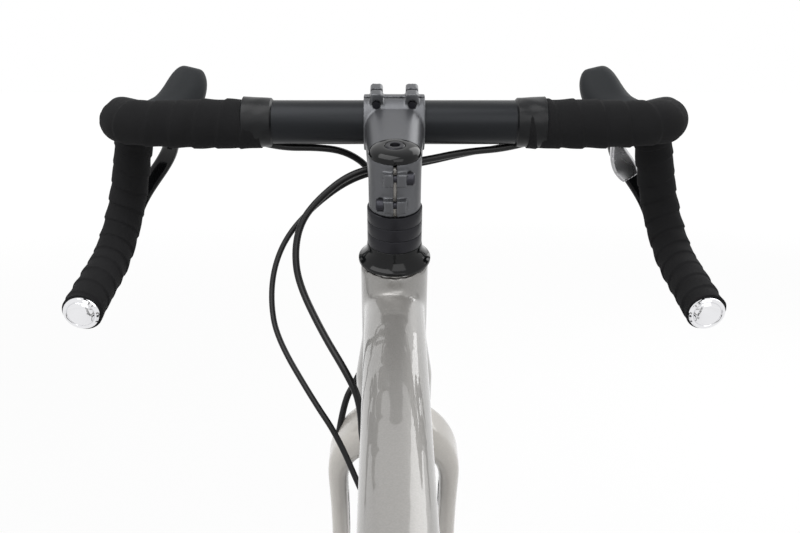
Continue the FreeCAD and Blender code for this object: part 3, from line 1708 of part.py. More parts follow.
def make_brake(end, axle, width, way, foot_way, carrier):
    """Caliper round the rotor's edge with its two pads."""
    disc = ACROSS * size(f"{width} / 2 - rotor_inset")
    tangent = ACROSS.cross(way)
    inner = size("caliper_place - caliper_depth / 2")
    outer = size("rotor_radius + caliper_bridge / 2 + caliper_bridge")
    long = size("caliper_length")
    wide = size("caliper_width")
    body = lofted([
        rounded(axle + disc + way * inner, tangent, ACROSS, long * 0.82, wide, 0.5),
        rounded(axle + disc + way * size("caliper_place"), tangent, ACROSS, long, wide, 0.5),
        rounded(axle + disc + way * outer, tangent, ACROSS, long * 0.8, wide * 0.8, 0.5),
    ])
    slot_wide = size("rotor_thickness + 2 * pad_gap + 2 * pad_thickness + running_gap")
    slot = lofted([
        rounded(axle + disc, tangent, ACROSS, 3 * long, slot_wide, 0.05),
        rounded(axle + disc + way * size("rotor_radius + caliper_bridge / 2"), tangent, ACROSS,
                3 * long, slot_wide, 0.05),
    ])
    foot_side = disc + ACROSS * (wide / 3)
    foot = lofted([
        rounded(axle + foot_side + way * size("caliper_place"), way, ACROSS, long * 0.6,
                size("foot_thickness"), 0.3),
        rounded(axle + foot_side + way * size("caliper_place") + foot_way * long, way, ACROSS,
                long * 0.6, size("foot_thickness"), 0.3),
    ])
    spokes = across_rod(
        size("2 * rotor_radius"), axle, 0,
        size(f"{end}_flange_left + spoke_head_offset + 2 * spoke_radius + part_gap"),
    )
    whole = body.fuse(foot).cut([slot, carrier, spokes])
    whole = max(whole.Solids, key=lambda s: s.Volume)
    label = f"{end}_brake_caliper"
    node(label, solid(label, whole))
    for name, side in (("left", 1), ("right", -1)):
        off = size("rotor_thickness / 2 + pad_gap + pad_thickness / 2") * side
        centre = axle + disc + way * size("caliper_place") + ACROSS * off
        pad = block(f"{end}_pad_{name}", ("pad_depth", "pad_length", "pad_thickness"),
                    facing(centre, ACROSS, way))
        node(f"{end}_pad_{name}", pad)


def turned_from(way, degrees):
    """Direction in the middle plane turned towards the rear by an angle."""
    turn = math.radians(degrees)
    side = spot(-way.z, 0, way.x)
    return way * math.cos(turn) + side * math.sin(turn)


def make_brakes():
    front_way = turned_from(STEER_UP, size("front_caliper_angle"))
    toward_leg = ACROSS.cross(front_way)
    make_brake("front", FRONT_AXLE, "front_axle_width", front_way, toward_leg,
               NODES["fork"].Shape)
    rear_way = turned_from(AHEAD, size("rear_caliper_angle"))
    toward_stay = ACROSS.cross(rear_way)
    make_brake("rear", REAR_AXLE, "rear_axle_width", rear_way, toward_stay,
               NODES["rear_stays"].Shape)


def pitch_radius(teeth):
    return size("chain_pitch") / (2 * math.sin(math.pi / teeth))


def sprocket(teeth, bore, phase, centre, side):
    """Toothed disc across the bike, with a valley at the angle phase."""
    radius = pitch_radius(teeth)
    valley = size("roller_seat_radius")
    tip = radius + size("tooth_tip")
    half_tip = size("tooth_tip_width / 2") / tip
    step = 2 * math.pi / teeth
    low = side - size("sprocket_thickness / 2")

    def at(turn, out):
        return spot(centre.x + out * math.cos(turn), low, centre.z + out * math.sin(turn))

    edges = []
    last = None
    for i in range(teeth):
        turn = phase + i * step
        middle = at(turn, radius)
        out = at(turn, radius + valley) - middle
        left = spot(-out.z, 0, out.x)
        corners = (middle - left, middle - out, middle + left)
        if last is not None:
            edges.append(Part.LineSegment(last, corners[0]).toShape())
        edges.append(Part.Arc(*corners).toShape())
        tips = (at(turn + step / 2 - half_tip, tip), at(turn + step / 2 + half_tip, tip))
        edges.append(Part.LineSegment(corners[2], tips[0]).toShape())
        edges.append(Part.LineSegment(*tips).toShape())
        last = tips[1]
    edges.append(Part.LineSegment(last, edges[0].valueAt(edges[0].FirstParameter)).toShape())
    disc = Part.Face(Part.Wire(edges)).extrude(ACROSS * size("sprocket_thickness"))
    hole = across_rod(bore, centre, 2 * low, 0)
    return disc.cut(hole)


CHAIN_LINE = "rear_axle_width / 2 - smallest_cog_inset - chain_cog * cog_spacing"
CHAIN_SIDE = -size(CHAIN_LINE)
GUIDE = REAR_AXLE + spot(size("guide_ahead"), 0, -size("guide_drop"))


def chain_wheels(cage_turn):
    """Wheels that the chain runs round: centre, teeth and sense, seen from the right."""
    reach = size("cage_length")
    tension = GUIDE + spot(reach * math.cos(cage_turn), 0, reach * math.sin(cage_turn))
    return [
        (SHELL, int(size("chainring_teeth")), 1),
        (REAR_AXLE, COGS[int(size("chain_cog"))], 1),
        (GUIDE, int(size("jockey_teeth")), -1),
        (tension, int(size("jockey_teeth")), 1),
    ]


def chain_runs(wheels):
    """Straight runs between the wheels: direction angle, start and end."""
    runs = []
    for i, (centre, teeth, sense) in enumerate(wheels):
        other, other_teeth, other_sense = wheels[(i + 1) % len(wheels)]
        gap = other - centre
        lift = other_sense * pitch_radius(other_teeth) - sense * pitch_radius(teeth)
        span = math.hypot(gap.x, gap.z)
        run = math.sqrt(span ** 2 - lift ** 2)
        turn = math.atan2(gap.z, gap.x) - math.atan2(lift, run)
        out = spot(math.sin(turn), 0, -math.cos(turn))
        start = centre + out * (sense * pitch_radius(teeth))
        end = other + out * (other_sense * pitch_radius(other_teeth))
        runs.append((turn, start, end))
    return runs


def wrap_turn(wheels, runs, i):
    """Angle that the chain is wrapped round wheel i."""
    turn = (runs[i][0] - runs[i - 1][0]) * wheels[i][2]
    return turn % (2 * math.pi)


def chain_pitches(cage_turn):
    wheels = chain_wheels(cage_turn)
    runs = chain_runs(wheels)
    total = sum((end - start).Length for _, start, end in runs) / size("chain_pitch")
    for i, (_, teeth, _) in enumerate(wheels):
        total += wrap_turn(wheels, runs, i) * teeth / (2 * math.pi)
    return total


def settle_cage():
    """Cage angle near the wanted one at which the chain is a whole even number of links."""
    wanted = angle("cage_angle")
    links = 2 * round(chain_pitches(wanted) / 2)
    low = wanted - angle("cage_spare_angle")
    high = wanted + angle("cage_spare_angle")
    falling = chain_pitches(low) > chain_pitches(high)
    for _ in range(60):
        middle = (low + high) / 2
        if (chain_pitches(middle) > links) == falling:
            low = middle
        else:
            high = middle
    return middle, links


def valley_phase(wheels, runs, i):
    """Angle of one valley of wheel i that holds a roller."""
    pitch = size("chain_pitch")
    count = len(wheels)
    gone = 0
    for j in range(count):
        _, start, end = runs[j]
        gone += (end - start).Length / pitch
        k = (j + 1) % count
        if k == i:
            break
        gone += wrap_turn(wheels, runs, k) * wheels[k][1] / (2 * math.pi)
    centre, teeth, sense = wheels[i]
    enter = runs[i - 1][2] - centre
    first = (math.ceil(gone) - gone) * 2 * math.pi / teeth
    return math.atan2(enter.z, enter.x) + sense * first


def chain_outline(wheels, runs, off, side):
    """Closed wire beside the chain's pitch line."""
    edges = []
    count = len(wheels)
    for i in range(count):
        turn, start, end = runs[i]
        out = spot(math.sin(turn), 0, -math.cos(turn)) * off
        shift = ACROSS * side
        edges.append(Part.LineSegment(start + out + shift, end + out + shift).toShape())
        k = (i + 1) % count
        centre, teeth, sense = wheels[k]
        radius = pitch_radius(teeth) + sense * off
        enter = end - centre
        from_turn = math.atan2(enter.z, enter.x)
        wrap = wrap_turn(wheels, runs, k) * sense
        points = []
        for share in (0, 0.5, 1):
            at = from_turn + wrap * share
            points.append(centre + spot(radius * math.cos(at), side, radius * math.sin(at)))
        edges.append(Part.Arc(*points).toShape())
    return Part.Wire(edges)


def roller_places(wheels, runs, links):
    pitch = size("chain_pitch")
    places = []
    count = len(wheels)
    gone = 0
    index = 0
    for i in range(count):
        _, start, end = runs[i]
        length = (end - start).Length / pitch
        while index < links and index <= gone + length:
            share = (index - gone) / length
            places.append(start + (end - start) * share)
            index += 1
        gone += length
        k = (i + 1) % count
        centre, teeth, sense = wheels[k]
        enter = end - centre
        wrap = wrap_turn(wheels, runs, k)
        length = wrap * teeth / (2 * math.pi)
        while index < links and index <= gone + length:
            at = math.atan2(enter.z, enter.x) + sense * wrap * (index - gone) / length
            radius = pitch_radius(teeth)
            places.append(centre + spot(radius * math.cos(at), 0, radius * math.sin(at)))
            index += 1
        gone += length
    return places


def make_chain(wheels, runs, links):
    """Two plate bands joined by a roller at every pitch."""
    high = size("chain_plate_height / 2")
    thick = size("chain_plate_thickness")
    half = size("chain_half_width")
    bands = []
    for side in (CHAIN_SIDE - half, CHAIN_SIDE + half - thick):
        outer = Part.Face(chain_outline(wheels, runs, high, side)).extrude(ACROSS * thick)
        inner = Part.Face(chain_outline(wheels, runs, -high, side)).extrude(ACROSS * thick)
        bands.append(outer.cut(inner))
    rollers = []
    for place in roller_places(wheels, runs, links):
        rollers.append(across_rod(
            size("roller_radius"), place, CHAIN_SIDE - half + thick / 2, CHAIN_SIDE + half - thick / 2
        ))
    whole = bands[0].multiFuse([bands[1]] + rollers)
    print("chain links", links, "solids", len(whole.Solids))
    node("chain", solid("chain", whole))


def make_transmission():
    """Cassette, chainring, crankset, derailleur and chain."""
    cage_turn, links = settle_cage()
    wheels = chain_wheels(cage_turn)
    runs = chain_runs(wheels)
    make_chain(wheels, runs, links)
    half = size("rear_axle_width / 2")
    smallest = -(half - size("smallest_cog_inset"))
    phase = valley_phase(wheels, runs, 1)
    bore = size("end_cap_radius + running_gap")
    foot = -size("rear_flange_right + 1.25 * flange_thickness + part_gap")
    core = across_rod(size("freehub_radius"), REAR_AXLE, smallest - size("cog_spacing / 2"), foot)
    cogs = [
        sprocket(teeth, bore, phase, REAR_AXLE, smallest + i * size("cog_spacing"))
        for i, teeth in enumerate(COGS)
    ]
    hole = across_rod(bore, REAR_AXLE, -2 * half, 0)
    node("cassette", solid("cassette", core.multiFuse(cogs).cut(hole)))
    ring_phase = valley_phase(wheels, runs, 0)
    ring_shape = sprocket(wheels[0][1], size("chainring_bore_radius"), ring_phase, SHELL, CHAIN_SIDE)
    node("chainring", solid("chainring", ring_shape))
    make_crankset()
    make_derailleur(wheels, runs)


def crank_arm(side, way, inner):
    """One arm with its bosses; side is the way out from the bike."""
    near = side * size("crank_inset")
    far = side * size("crank_inset + crank_thickness")
    end = SHELL + way * size("crank_length")
    boss = across_rod(size("crank_boss_radius"), SHELL, min(inner, far), max(inner, far))
    tip = across_rod(size("crank_tip_radius"), end, min(near, far), max(near, far))
    middle = ACROSS * ((near + far) / 2)
    up = way.cross(ACROSS)
    arm = lofted([
        rounded(SHELL + middle, up, ACROSS, size("1.7 * crank_boss_radius"),
                size("crank_thickness"), 0.5),
        rounded(end + middle, up, ACROSS, size("1.7 * crank_tip_radius"),
                size("crank_thickness"), 0.5),
    ])
    return boss.fuse([tip, arm])


def make_crankset():
    crank_face = "sprocket_thickness / 2 + spider_thickness"
    face = CHAIN_SIDE - size("sprocket_thickness / 2")
    outer = CHAIN_SIDE - size(crank_face)
    right = crank_arm(-1, AHEAD, outer)
    spider = []
    bolts = []
    for i in range(4):
        turn = math.pi / 4 + i * math.pi / 2
        way = spot(math.cos(turn), 0, math.sin(turn))
        across = ACROSS.cross(way)
        middle = ACROSS * ((face + outer) / 2)
        spider.append(lofted([
            rounded(SHELL + middle, across, ACROSS, size("spider_width"),
                    size("spider_thickness"), 0.2),
            rounded(SHELL + middle + way * size("spider_reach"), across, ACROSS,
                    size("spider_width"), size("spider_thickness"), 0.2),
        ]))
        place = SHELL + way * size("spider_reach - ring_bolt_radius - part_gap")
        bolts.append(solid(f"ring_bolt_{i}", across_rod(
            size("ring_bolt_radius"), place, outer - size("ring_bolt_height"), outer
        )))
    right = right.fuse(spider)
    left = crank_arm(1, AHEAD * -1, -outer)
    spindle = rod("spindle", "spindle_radius", f"2 * ({CHAIN_LINE} + {crank_face})",
                  facing(SHELL + ACROSS * outer, ACROSS, AHEAD))
    far = size("crank_inset + crank_thickness")
    axle_long = "pedal_inset + pedal_width - pedal_rail / 2"
    right_axle = rod("right_pedal_axle", "pedal_axle_radius", axle_long, facing(
        SHELL + AHEAD * size("crank_length") - ACROSS * far, ACROSS * -1, AHEAD))
    left_axle = rod("left_pedal_axle", "pedal_axle_radius", axle_long, facing(
        SHELL - AHEAD * size("crank_length") + ACROSS * far, ACROSS, AHEAD))
    items = [solid("right_arm", right.cut(now(spindle))), solid("left_arm", left.cut(now(spindle)))]
    node("crankset", group("crankset", items + [spindle, right_axle, left_axle] + bolts))


def make_derailleur(wheels, runs):
    """Fixed knuckle, moving link, cage and two jockey wheels."""
    outside = -size("rear_axle_width / 2 + dropout_thickness + hanger_thickness")
    bolt = hanger_bolt()
    radius = size("knuckle_radius")
    width = size("knuckle_width")
    fixed = across_rod(radius, bolt, outside - width, outside)
    hole = across_rod(size("small_bolt_radius"), bolt, 2 * outside, 0)
    inside = outside + size("hanger_thickness")
    pivot = across_rod(size("small_bolt_radius"), bolt, outside - width, inside)
    items = [solid("fixed_knuckle", fixed.cut(hole)), solid("hanger_bolt", pivot)]
    node("rear_derailleur", group("rear_derailleur", items))
    doc.recompute()
    gap = size("part_gap")
    plate_in = size("cage_plate_gap")
    plate_out = size("cage_plate_gap + cage_plate_thickness")
    cage_face = CHAIN_SIDE - plate_out - gap
    knuckle = across_rod(radius, GUIDE, cage_face - width, cage_face)
    top = spot(bolt.x, outside - width / 2, bolt.z - radius - 2 * gap)
    low = spot(GUIDE.x, cage_face - width / 2, GUIDE.z)
    link = lofted([
        rounded(top, AHEAD, ACROSS, size("link_width"), width, 0.4),
        rounded(low, AHEAD, ACROSS, size("link_width"), width, 0.4),
    ])
    node("derailleur_linkage", solid("derailleur_linkage", knuckle.fuse(link)))
    tension = wheels[3][0]
    way = (tension - GUIDE).normalize()
    right = ACROSS.cross(way)
    wide = size("cage_plate_width")
    parts = []
    for side in (CHAIN_SIDE - plate_out, CHAIN_SIDE + plate_in):
        far = side + size("cage_plate_thickness")
        middle = ACROSS * ((side + far) / 2)
        parts.append(lofted([
            rounded(GUIDE + middle, right, ACROSS, wide, far - side, 0.2),
            rounded(tension + middle, right, ACROSS, wide * 0.8, far - side, 0.2),
        ]))
        parts.append(across_rod(wide / 2, GUIDE, side, far))
        parts.append(across_rod(wide * 0.4, tension, side, far))
    pin_radius = size("jockey_bore_radius - running_gap")
    for centre in (GUIDE, tension):
        parts.append(across_rod(pin_radius, centre, CHAIN_SIDE - plate_out, CHAIN_SIDE + plate_out))
    cage = parts[0].multiFuse(parts[1:])
    node("derailleur_cage", solid("derailleur_cage", cage))
    for name, i in (("upper_jockey_wheel", 2), ("lower_jockey_wheel", 3)):
        shape = sprocket(wheels[i][1], size("jockey_bore_radius"), valley_phase(wheels, runs, i),
                         wheels[i][0], CHAIN_SIDE)
        node(name, solid(name, shape))


def make_pedals():
    far = size("crank_inset + crank_thickness + pedal_inset")
    long = size("pedal_length")
    wide = size("pedal_width")
    high = size("pedal_thickness")
    rail = size("pedal_rail")
    for name, side, way in (("left", 1, -1), ("right", -1, 1)):
        axle = SHELL + AHEAD * (way * size("crank_length"))
        centre = axle + ACROSS * (side * (far + wide / 2))
        body = lofted([
            rounded(centre - UP * (high / 2), AHEAD, ACROSS, long, wide, 0.3),
            rounded(centre + UP * (high / 2), AHEAD, ACROSS, long, wide, 0.3),
        ])
        windows = []
        window_long = long / 2 - 1.7 * rail
        for end in (-1, 1):
            middle = centre + AHEAD * (end * (window_long / 2 + 0.7 * rail))
            windows.append(lofted([
                rounded(middle - UP * high, AHEAD, ACROSS, window_long, wide - 2 * rail, 0.3),
                rounded(middle + UP * high, AHEAD, ACROSS, window_long, wide - 2 * rail, 0.3),
            ]))
        bore_end = side * (far + wide - rail / 2 + size("part_gap"))
        bore = across_rod(size("pedal_axle_radius + running_gap"), axle, min(0, bore_end),
                          max(0, bore_end))
        label = f"pedal_{name}"
        node(label, solid(label, body.cut(windows + [bore])))


def make_bottom_bracket():
    half = "shell_width / 2"
    place = wheel_place(SHELL)
    cups = []
    for name, low, high in (
        ("left_cup", half, f"{half} + cup_thickness"),
        ("right_cup", f"-{half} - cup_thickness", f"-{half}"),
    ):
        cups.append(ring(name, "spindle_radius + running_gap", "shell_radius", low, high, place))
    node("bottom_bracket_cups", group("bottom_bracket_cups", cups))


# saddle rows: place along, width, pad height and lift, all as shares of the saddle's length
SADDLE_SHARES = (
    (-0.470, 0.300, 0.055, 0.012),
    (-0.430, 0.440, 0.085, 0.010),
    (-0.340, 0.530, 0.100, 0.006),
    (-0.200, 0.500, 0.100, 0.000),
    (0.000, 0.320, 0.095, 0.000),
    (0.200, 0.200, 0.090, 0.000),
    (0.400, 0.155, 0.080, 0.000),
    (0.490, 0.125, 0.062, 0.000),
    (0.520, 0.080, 0.035, 0.000),
)


# rail rows: along as a share of the saddle's length, side of the spacing, up of the clearance
RAIL_SHARES = (
    (0.360, 0.3, 1.0),
    (0.300, 0.5, 0.2),
    (0.151, 1.0, 0.0),
    (-0.196, 1.0, 0.0),
    (-0.370, 1.9, 0.7),
    (-0.400, 2.0, 1.0),
)


def saddle_origin():
    return seat(size("saddle_height"), 0, 0) - AHEAD * size("saddle_setback")


def make_saddle():
    """Pad on a shell, on two rails."""
    origin = saddle_origin()
    long = size("saddle_length")
    base = size("saddle_clearance")
    thin = size("saddle_shell_thickness")
    shell_sections = []
    pad_sections = []
    for along, width, high, lift in SADDLE_SHARES:
        middle = origin + AHEAD * (along * long) + UP * (base + lift * long)
        shell_sections.append(
            rounded(middle + UP * (thin / 2), ACROSS, UP, width * long * 0.94, thin, 0.6)
        )
        pad_sections.append(
            rounded(middle + UP * (thin + high * long / 2), ACROSS, UP, width * long, high * long, 0.88)
        )
    shell = lofted(shell_sections)
    pad = lofted(pad_sections).cut(shell)
    node("saddle_shell", solid("saddle_shell", shell))
    node("saddle_pad", solid("saddle_pad", pad))
    make_rails(origin, shell)


def make_rails(origin, shell):
    long = size("saddle_length")
    half = size("rail_spacing / 2")
    top = size("saddle_clearance + saddle_shell_thickness / 2")
    corners = [origin + spot(a * long, b * half, c * top) for a, b, c in RAIL_SHARES]
    path = bent_path(corners, widest_radii(corners))
    rail = now(swept("left_rail_bar", path, "rail_radius")).cut(shell)
    rail = max(rail.Solids, key=lambda s: s.Volume)
    left = solid("left_rail", rail)
    right = mirrored("right_rail", left)
    node("saddle_rails", group("saddle_rails", [left, right]))
    make_saddle_clamp(origin, now(left), now(right))


def make_saddle_clamp(origin, left, right):
    plate = size("rail_clamp_plate")
    long = size("rail_clamp_length")
    wide = size("rail_spacing + 4 * rail_radius")
    gap = size("part_gap")
    plates = []
    for level in (-1, 1):
        near = origin + UP * (level * gap)
        far = origin + UP * (level * (gap + plate))
        plates.append(lofted([
            rounded(near, AHEAD, ACROSS, long, wide, 0.2),
            rounded(far, AHEAD, ACROSS, long * 0.9, wide * 0.95, 0.2),
        ]))
    bolts = []
    for end in (-1, 1):
        foot = origin + AHEAD * (end * long * 0.35) - UP * (gap + plate)
        bolts.append(Part.makeCylinder(size("small_bolt_radius"), 2 * gap + 2.4 * plate, foot, UP))
    items = [solid(f"rail_plate_{i}", p.cut([left, right] + bolts)) for i, p in enumerate(plates)]
    items += [solid(f"rail_bolt_{i}", b) for i, b in enumerate(bolts)]
    node("saddle_clamp", group("saddle_clamp", items))
    radius = size("seatpost_radius")
    head_centre = origin + AHEAD * size("saddle_setback * 0.7") - UP * (plate + radius)
    half = wide / 3
    head = across_rod(radius + gap, head_centre, -half, half)
    top = size("saddle_height") - plate - radius
    foot = seat(top - size("seatpost_length"), 0, 0)
    post = Part.makeCylinder(radius, size("seatpost_length"), foot, SEAT_UP)
    node("seatpost", solid("seatpost", post.fuse(head).cut(plates)))


def make_collar():
    """Clamp with its bolt round the top of the seat tube."""
    low = "seat_tube_length - collar_height"
    outer = "seat_tube_radius + collar_thickness"
    band = ring("collar_band", "seat_tube_radius", outer, low, "seat_tube_length", SEAT_PLACE)
    level = size("seat_tube_length - collar_height / 2")
    back = seat(level, -size(outer + " + collar_ear / 3"), 0)
    ear = size("collar_ear")
    high = size("collar_height")
    ears = lofted([
        rounded(back - ACROSS * ear, SEAT_AHEAD, SEAT_UP, ear, high, 0.3),
        rounded(back + ACROSS * ear, SEAT_AHEAD, SEAT_UP, ear, high, 0.3),
    ])
    slot = lofted([
        rounded(back - SEAT_AHEAD * ear, ACROSS, SEAT_UP, size("collar_slot"), 2 * high, 0.1),
        rounded(back + SEAT_AHEAD * ear, ACROSS, SEAT_UP, size("collar_slot"), 2 * high, 0.1),
    ])
    bolt = across_rod(size("small_bolt_radius"), back, -1.2 * ear, 1.2 * ear)
    core = Part.makeCylinder(size("seat_tube_radius"), size("seat_tube_length"), SHELL, SEAT_UP)
    collar = now(band).fuse(ears).cut([slot, bolt, core])
    items = [solid("collar_clamp", collar), solid("collar_bolt", bolt)]
    node("seatpost_collar", group("seatpost_collar", items))


def save_parts():
    """Write each finished piece after checking it."""
    doc.recompute()
    for item in doc.Objects:
        if "Invalid" in item.State or "Error" in item.State:
            raise RuntimeError(f"{item.Label} did not work out")
    for label, item in NODES.items():
        shape = item.Shape
        if shape.isNull() or not shape.isValid() or not shape.Solids:
            raise RuntimeError(f"{label} is not a valid solid")
        shape.exportStep(f"parts/{label}.step")
    print("pieces", len(NODES))


def build():
    seat_core, shell_core = make_main_frame()
    make_rear_stays(seat_core, shell_core)
    make_headset()
    make_top_cap()
    make_fork()
    make_stem()
    make_handlebar()
    make_bar_tape()
    make_levers()
    make_wheels()
    make_brakes()
    make_transmission()
    make_cables()
    make_pedals()
    make_bottom_bracket()
    make_saddle()
    make_collar()
    save_parts()


build()
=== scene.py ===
"""Looks of a gravel bike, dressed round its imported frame. All lengths are in metres."""

import json
import logging
import math
from dataclasses import dataclass
from enum import Enum
from typing import Callable, Sequence

import bmesh
import bpy
from bpy.types import Material, Mesh, Node, NodeSocket, NodeTree, Object
from mathutils import Matrix, Vector
from mathutils.bvhtree import BVHTree


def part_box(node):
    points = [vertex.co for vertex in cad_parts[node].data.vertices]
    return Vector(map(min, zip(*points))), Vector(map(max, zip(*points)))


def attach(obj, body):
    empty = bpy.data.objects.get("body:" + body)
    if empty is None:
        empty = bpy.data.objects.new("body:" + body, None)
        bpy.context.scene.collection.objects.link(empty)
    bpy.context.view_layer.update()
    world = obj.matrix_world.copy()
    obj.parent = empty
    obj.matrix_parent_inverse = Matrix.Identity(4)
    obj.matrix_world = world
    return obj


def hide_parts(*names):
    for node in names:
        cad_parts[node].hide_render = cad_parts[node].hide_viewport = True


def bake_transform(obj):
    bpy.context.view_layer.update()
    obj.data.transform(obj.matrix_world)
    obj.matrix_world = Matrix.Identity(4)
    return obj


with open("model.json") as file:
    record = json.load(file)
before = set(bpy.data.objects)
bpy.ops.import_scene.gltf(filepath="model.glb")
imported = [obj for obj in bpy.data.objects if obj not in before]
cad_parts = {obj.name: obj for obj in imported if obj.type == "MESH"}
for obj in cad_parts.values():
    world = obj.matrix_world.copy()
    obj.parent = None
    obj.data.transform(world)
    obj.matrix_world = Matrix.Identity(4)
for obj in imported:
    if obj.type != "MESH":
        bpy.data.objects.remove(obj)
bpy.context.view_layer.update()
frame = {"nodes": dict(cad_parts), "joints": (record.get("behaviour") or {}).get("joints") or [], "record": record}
LOG = logging.getLogger("gravel_bike")
ACROSS = Vector((0.0, 1.0, 0.0))
Shape = bmesh.types.BMesh
Spot = tuple[float, float, float]

# Points closer than this are one, and edges that turn more than this stay sharp.
WELD = 1e-5
SHARP = math.radians(38)
# Tubes longer than this are filled before they get a skin, and that skin is smoothed again once laid.
LONG_TUBE = 0.30
LAID_PASSES = 7
# Turn that keeps the cells of a skin off the planes of the bike.
SKEW = Matrix.Rotation(math.radians(37), 4, (0.36, 0.48, 0.80))


def share_of(value: float, start: float, end: float) -> float:
    """Share of the way from a start to an end, kept between 0 and 1."""
    return min(max((value - start) / (end - start), 0.0), 1.0)


def ease(value: float, start: float, end: float) -> float:
    """Share of the way from a start to an end, with a soft start and stop."""
    share = share_of(value, start, end)
    return share * share * (3 - 2 * share)


def mesh_of(bm: Shape, name: str) -> Mesh:
    """Mesh of a finished shape, which is freed."""
    mesh = bpy.data.meshes.new(name)
    bm.to_mesh(mesh)
    bm.free()
    return mesh


def put(name: str, data: bpy.types.ID) -> Object:
    """New object in the scene with the given data."""
    item = bpy.data.objects.new(name, data)
    bpy.context.scene.collection.objects.link(item)
    return item


def join(whole: Shape, part: Shape) -> None:
    """Add a part to a whole, and free the part."""
    mesh = mesh_of(part, "part")
    whole.from_mesh(mesh)
    bpy.data.meshes.remove(mesh)


def linear(hex_colour: str) -> tuple[float, float, float, float]:
    """Turn an sRGB hex colour into linear light.

    Args:
        hex_colour: six hex digits after a hash.

    Returns:
        Red, green, blue and alpha.
    """
    parts = []
    for start in (1, 3, 5):
        value = int(hex_colour[start:start + 2], 16) / 255
        parts.append(value / 12.92 if value <= 0.04045 else ((value + 0.055) / 1.055) ** 2.4)
    return (*parts, 1.0)


def add(tree: NodeTree, kind: str, settings: dict | None = None,
        links: dict | None = None) -> Node:
    """Add one shader node.

    Args:
        tree: tree that takes the node.
        kind: node kind without its prefix.
        settings: values for inputs or attributes, by name or input number.
        links: outputs that feed inputs, by input name or number.

    Returns:
        The new node.
    """
    node = tree.nodes.new("ShaderNode" + kind)
    attributes = {k: v for k, v in (settings or {}).items() if hasattr(node, str(k))}
    for name, value in attributes.items():
        setattr(node, name, value)
    for name, value in (settings or {}).items():
        if name not in attributes:
            node.inputs[name].default_value = value
    for name, source in (links or {}).items():
        tree.links.new(source, node.inputs[name])
    return node


class Grain(Enum):
    """Kinds of fine pattern that a surface can have."""

    SPECKLE = "TexNoise"
    PEBBLE = "TexVoronoi"
    FLAKE = "TexWhiteNoise"


@dataclass(frozen=True)
class Finish:
    """One real material and how its surface was made.

    Its grain is a fine pattern of a real size, and its cloud a slow change of tone.
    """

    name: str
    colour: str
    roughness: float
    metallic: float = 0.0
    ior: float = 1.5
    coat: float = 0.0
    coat_roughness: float = 0.05
    sheen: float = 0.0
    grain: Grain = Grain.SPECKLE
    grain_size: float = 0.0005
    grain_depth: float = 0.00001
    stretch: Spot = (1.0, 1.0, 1.0)
    shade: float = 0.10
    cloud_size: float = 0.035
    uneven: float = 0.06

    def material(self) -> Material:
        """Make the material, or find it if it is there."""
        found = bpy.data.materials.get(self.name)
        if found:
            return found
        made = bpy.data.materials.new(self.name)
        made.use_nodes = True
        tree = made.node_tree
        shader = tree.nodes["Principled BSDF"]
        constants = {"Metallic": self.metallic, "IOR": self.ior, "Coat Weight": self.coat,
                     "Coat Roughness": self.coat_roughness, "Sheen Weight": self.sheen}
        for name, value in constants.items():
            shader.inputs[name].default_value = value
        self.weave(tree, shader)
        return made

    def weave(self, tree: NodeTree, shader: Node) -> None:
        """Lead grain and cloud to the shader's colour, roughness and normal.

        Args:
            tree: tree of the material.
            shader: its surface shader.
        """
        place = add(tree, "TexCoord").outputs["Object"]
        cell = tuple(s / self.grain_size for s in self.stretch)
        spread = add(tree, "Mapping", {"Scale": cell}, {"Vector": place}).outputs["Vector"]
        if self.grain is Grain.FLAKE:
            spread = add(tree, "VectorMath", {"operation": "FLOOR"}, {0: spread}).outputs[0]
        grain = add(tree, self.grain.value, links={"Vector": spread})
        fine = grain.outputs["Distance" if self.grain is Grain.PEBBLE else 0]
        cloud = add(tree, "TexNoise", {"Scale": 1 / self.cloud_size, "Detail": 3.0},
                    {"Vector": place}).outputs[0]
        both = add(tree, "Math", {"operation": "ADD"}, {0: fine, 1: cloud}).outputs[0]
        tone = linear(self.colour)
        dark = (*(c * (1 - self.shade) for c in tone[:3]), 1.0)
        light = (*(c * (1 + self.shade) for c in tone[:3]), 1.0)
        share = add(tree, "MapRange", {"From Min": 0.5, "From Max": 1.5}, {"Value": both}).outputs[0]
        mixed = add(tree, "Mix", {"data_type": "RGBA", 6: dark, 7: light}, {0: share}).outputs[2]
        tree.links.new(mixed, shader.inputs["Base Color"])
        rough = add(tree, "MapRange", {"To Min": self.roughness - self.uneven,
                                       "To Max": self.roughness + self.uneven}, {"Value": cloud})
        tree.links.new(rough.outputs[0], shader.inputs["Roughness"])
        if self.grain_depth:
            bump = add(tree, "Bump", {"Strength": 1.0, "Distance": self.grain_depth}, {"Height": fine})
            tree.links.new(bump.outputs[0], shader.inputs["Normal"])


# Metallic lacquer under clear coat: an even silver with fine flakes and mirror-like gloss.
FRAME_PAINT = Finish("clear_coated_silver_lacquer", "#8c8a87", 0.42, metallic=0.45, coat=1.0,
                     coat_roughness=0.03, grain=Grain.FLAKE, grain_size=0.0007, grain_depth=0.0,
                     shade=0.05, cloud_size=0.12)
# Pearl lacquer under clear coat: a paler, warmer body with the same gloss.
FORK_PAINT = Finish("clear_coated_pearl_lacquer", "#bab6b0", 0.40, metallic=0.15, coat=1.0,
                    coat_roughness=0.04, grain=Grain.FLAKE, grain_size=0.0007, grain_depth=0.0,
                    shade=0.04, cloud_size=0.12)
# Blasted and black anodised aluminium: a soft broad highlight with a fine tooth.
BLACK_ANODISED = Finish("black_anodised_aluminium", "#191b1e", 0.36, metallic=0.55, ior=1.4, shade=0.12)
# Shot-peened grey anodised aluminium of a forged stem.
GREY_ANODISED = Finish("grey_anodised_aluminium", "#58595c", 0.36, metallic=0.65,
                       grain_size=0.0006, grain_depth=0.000015)
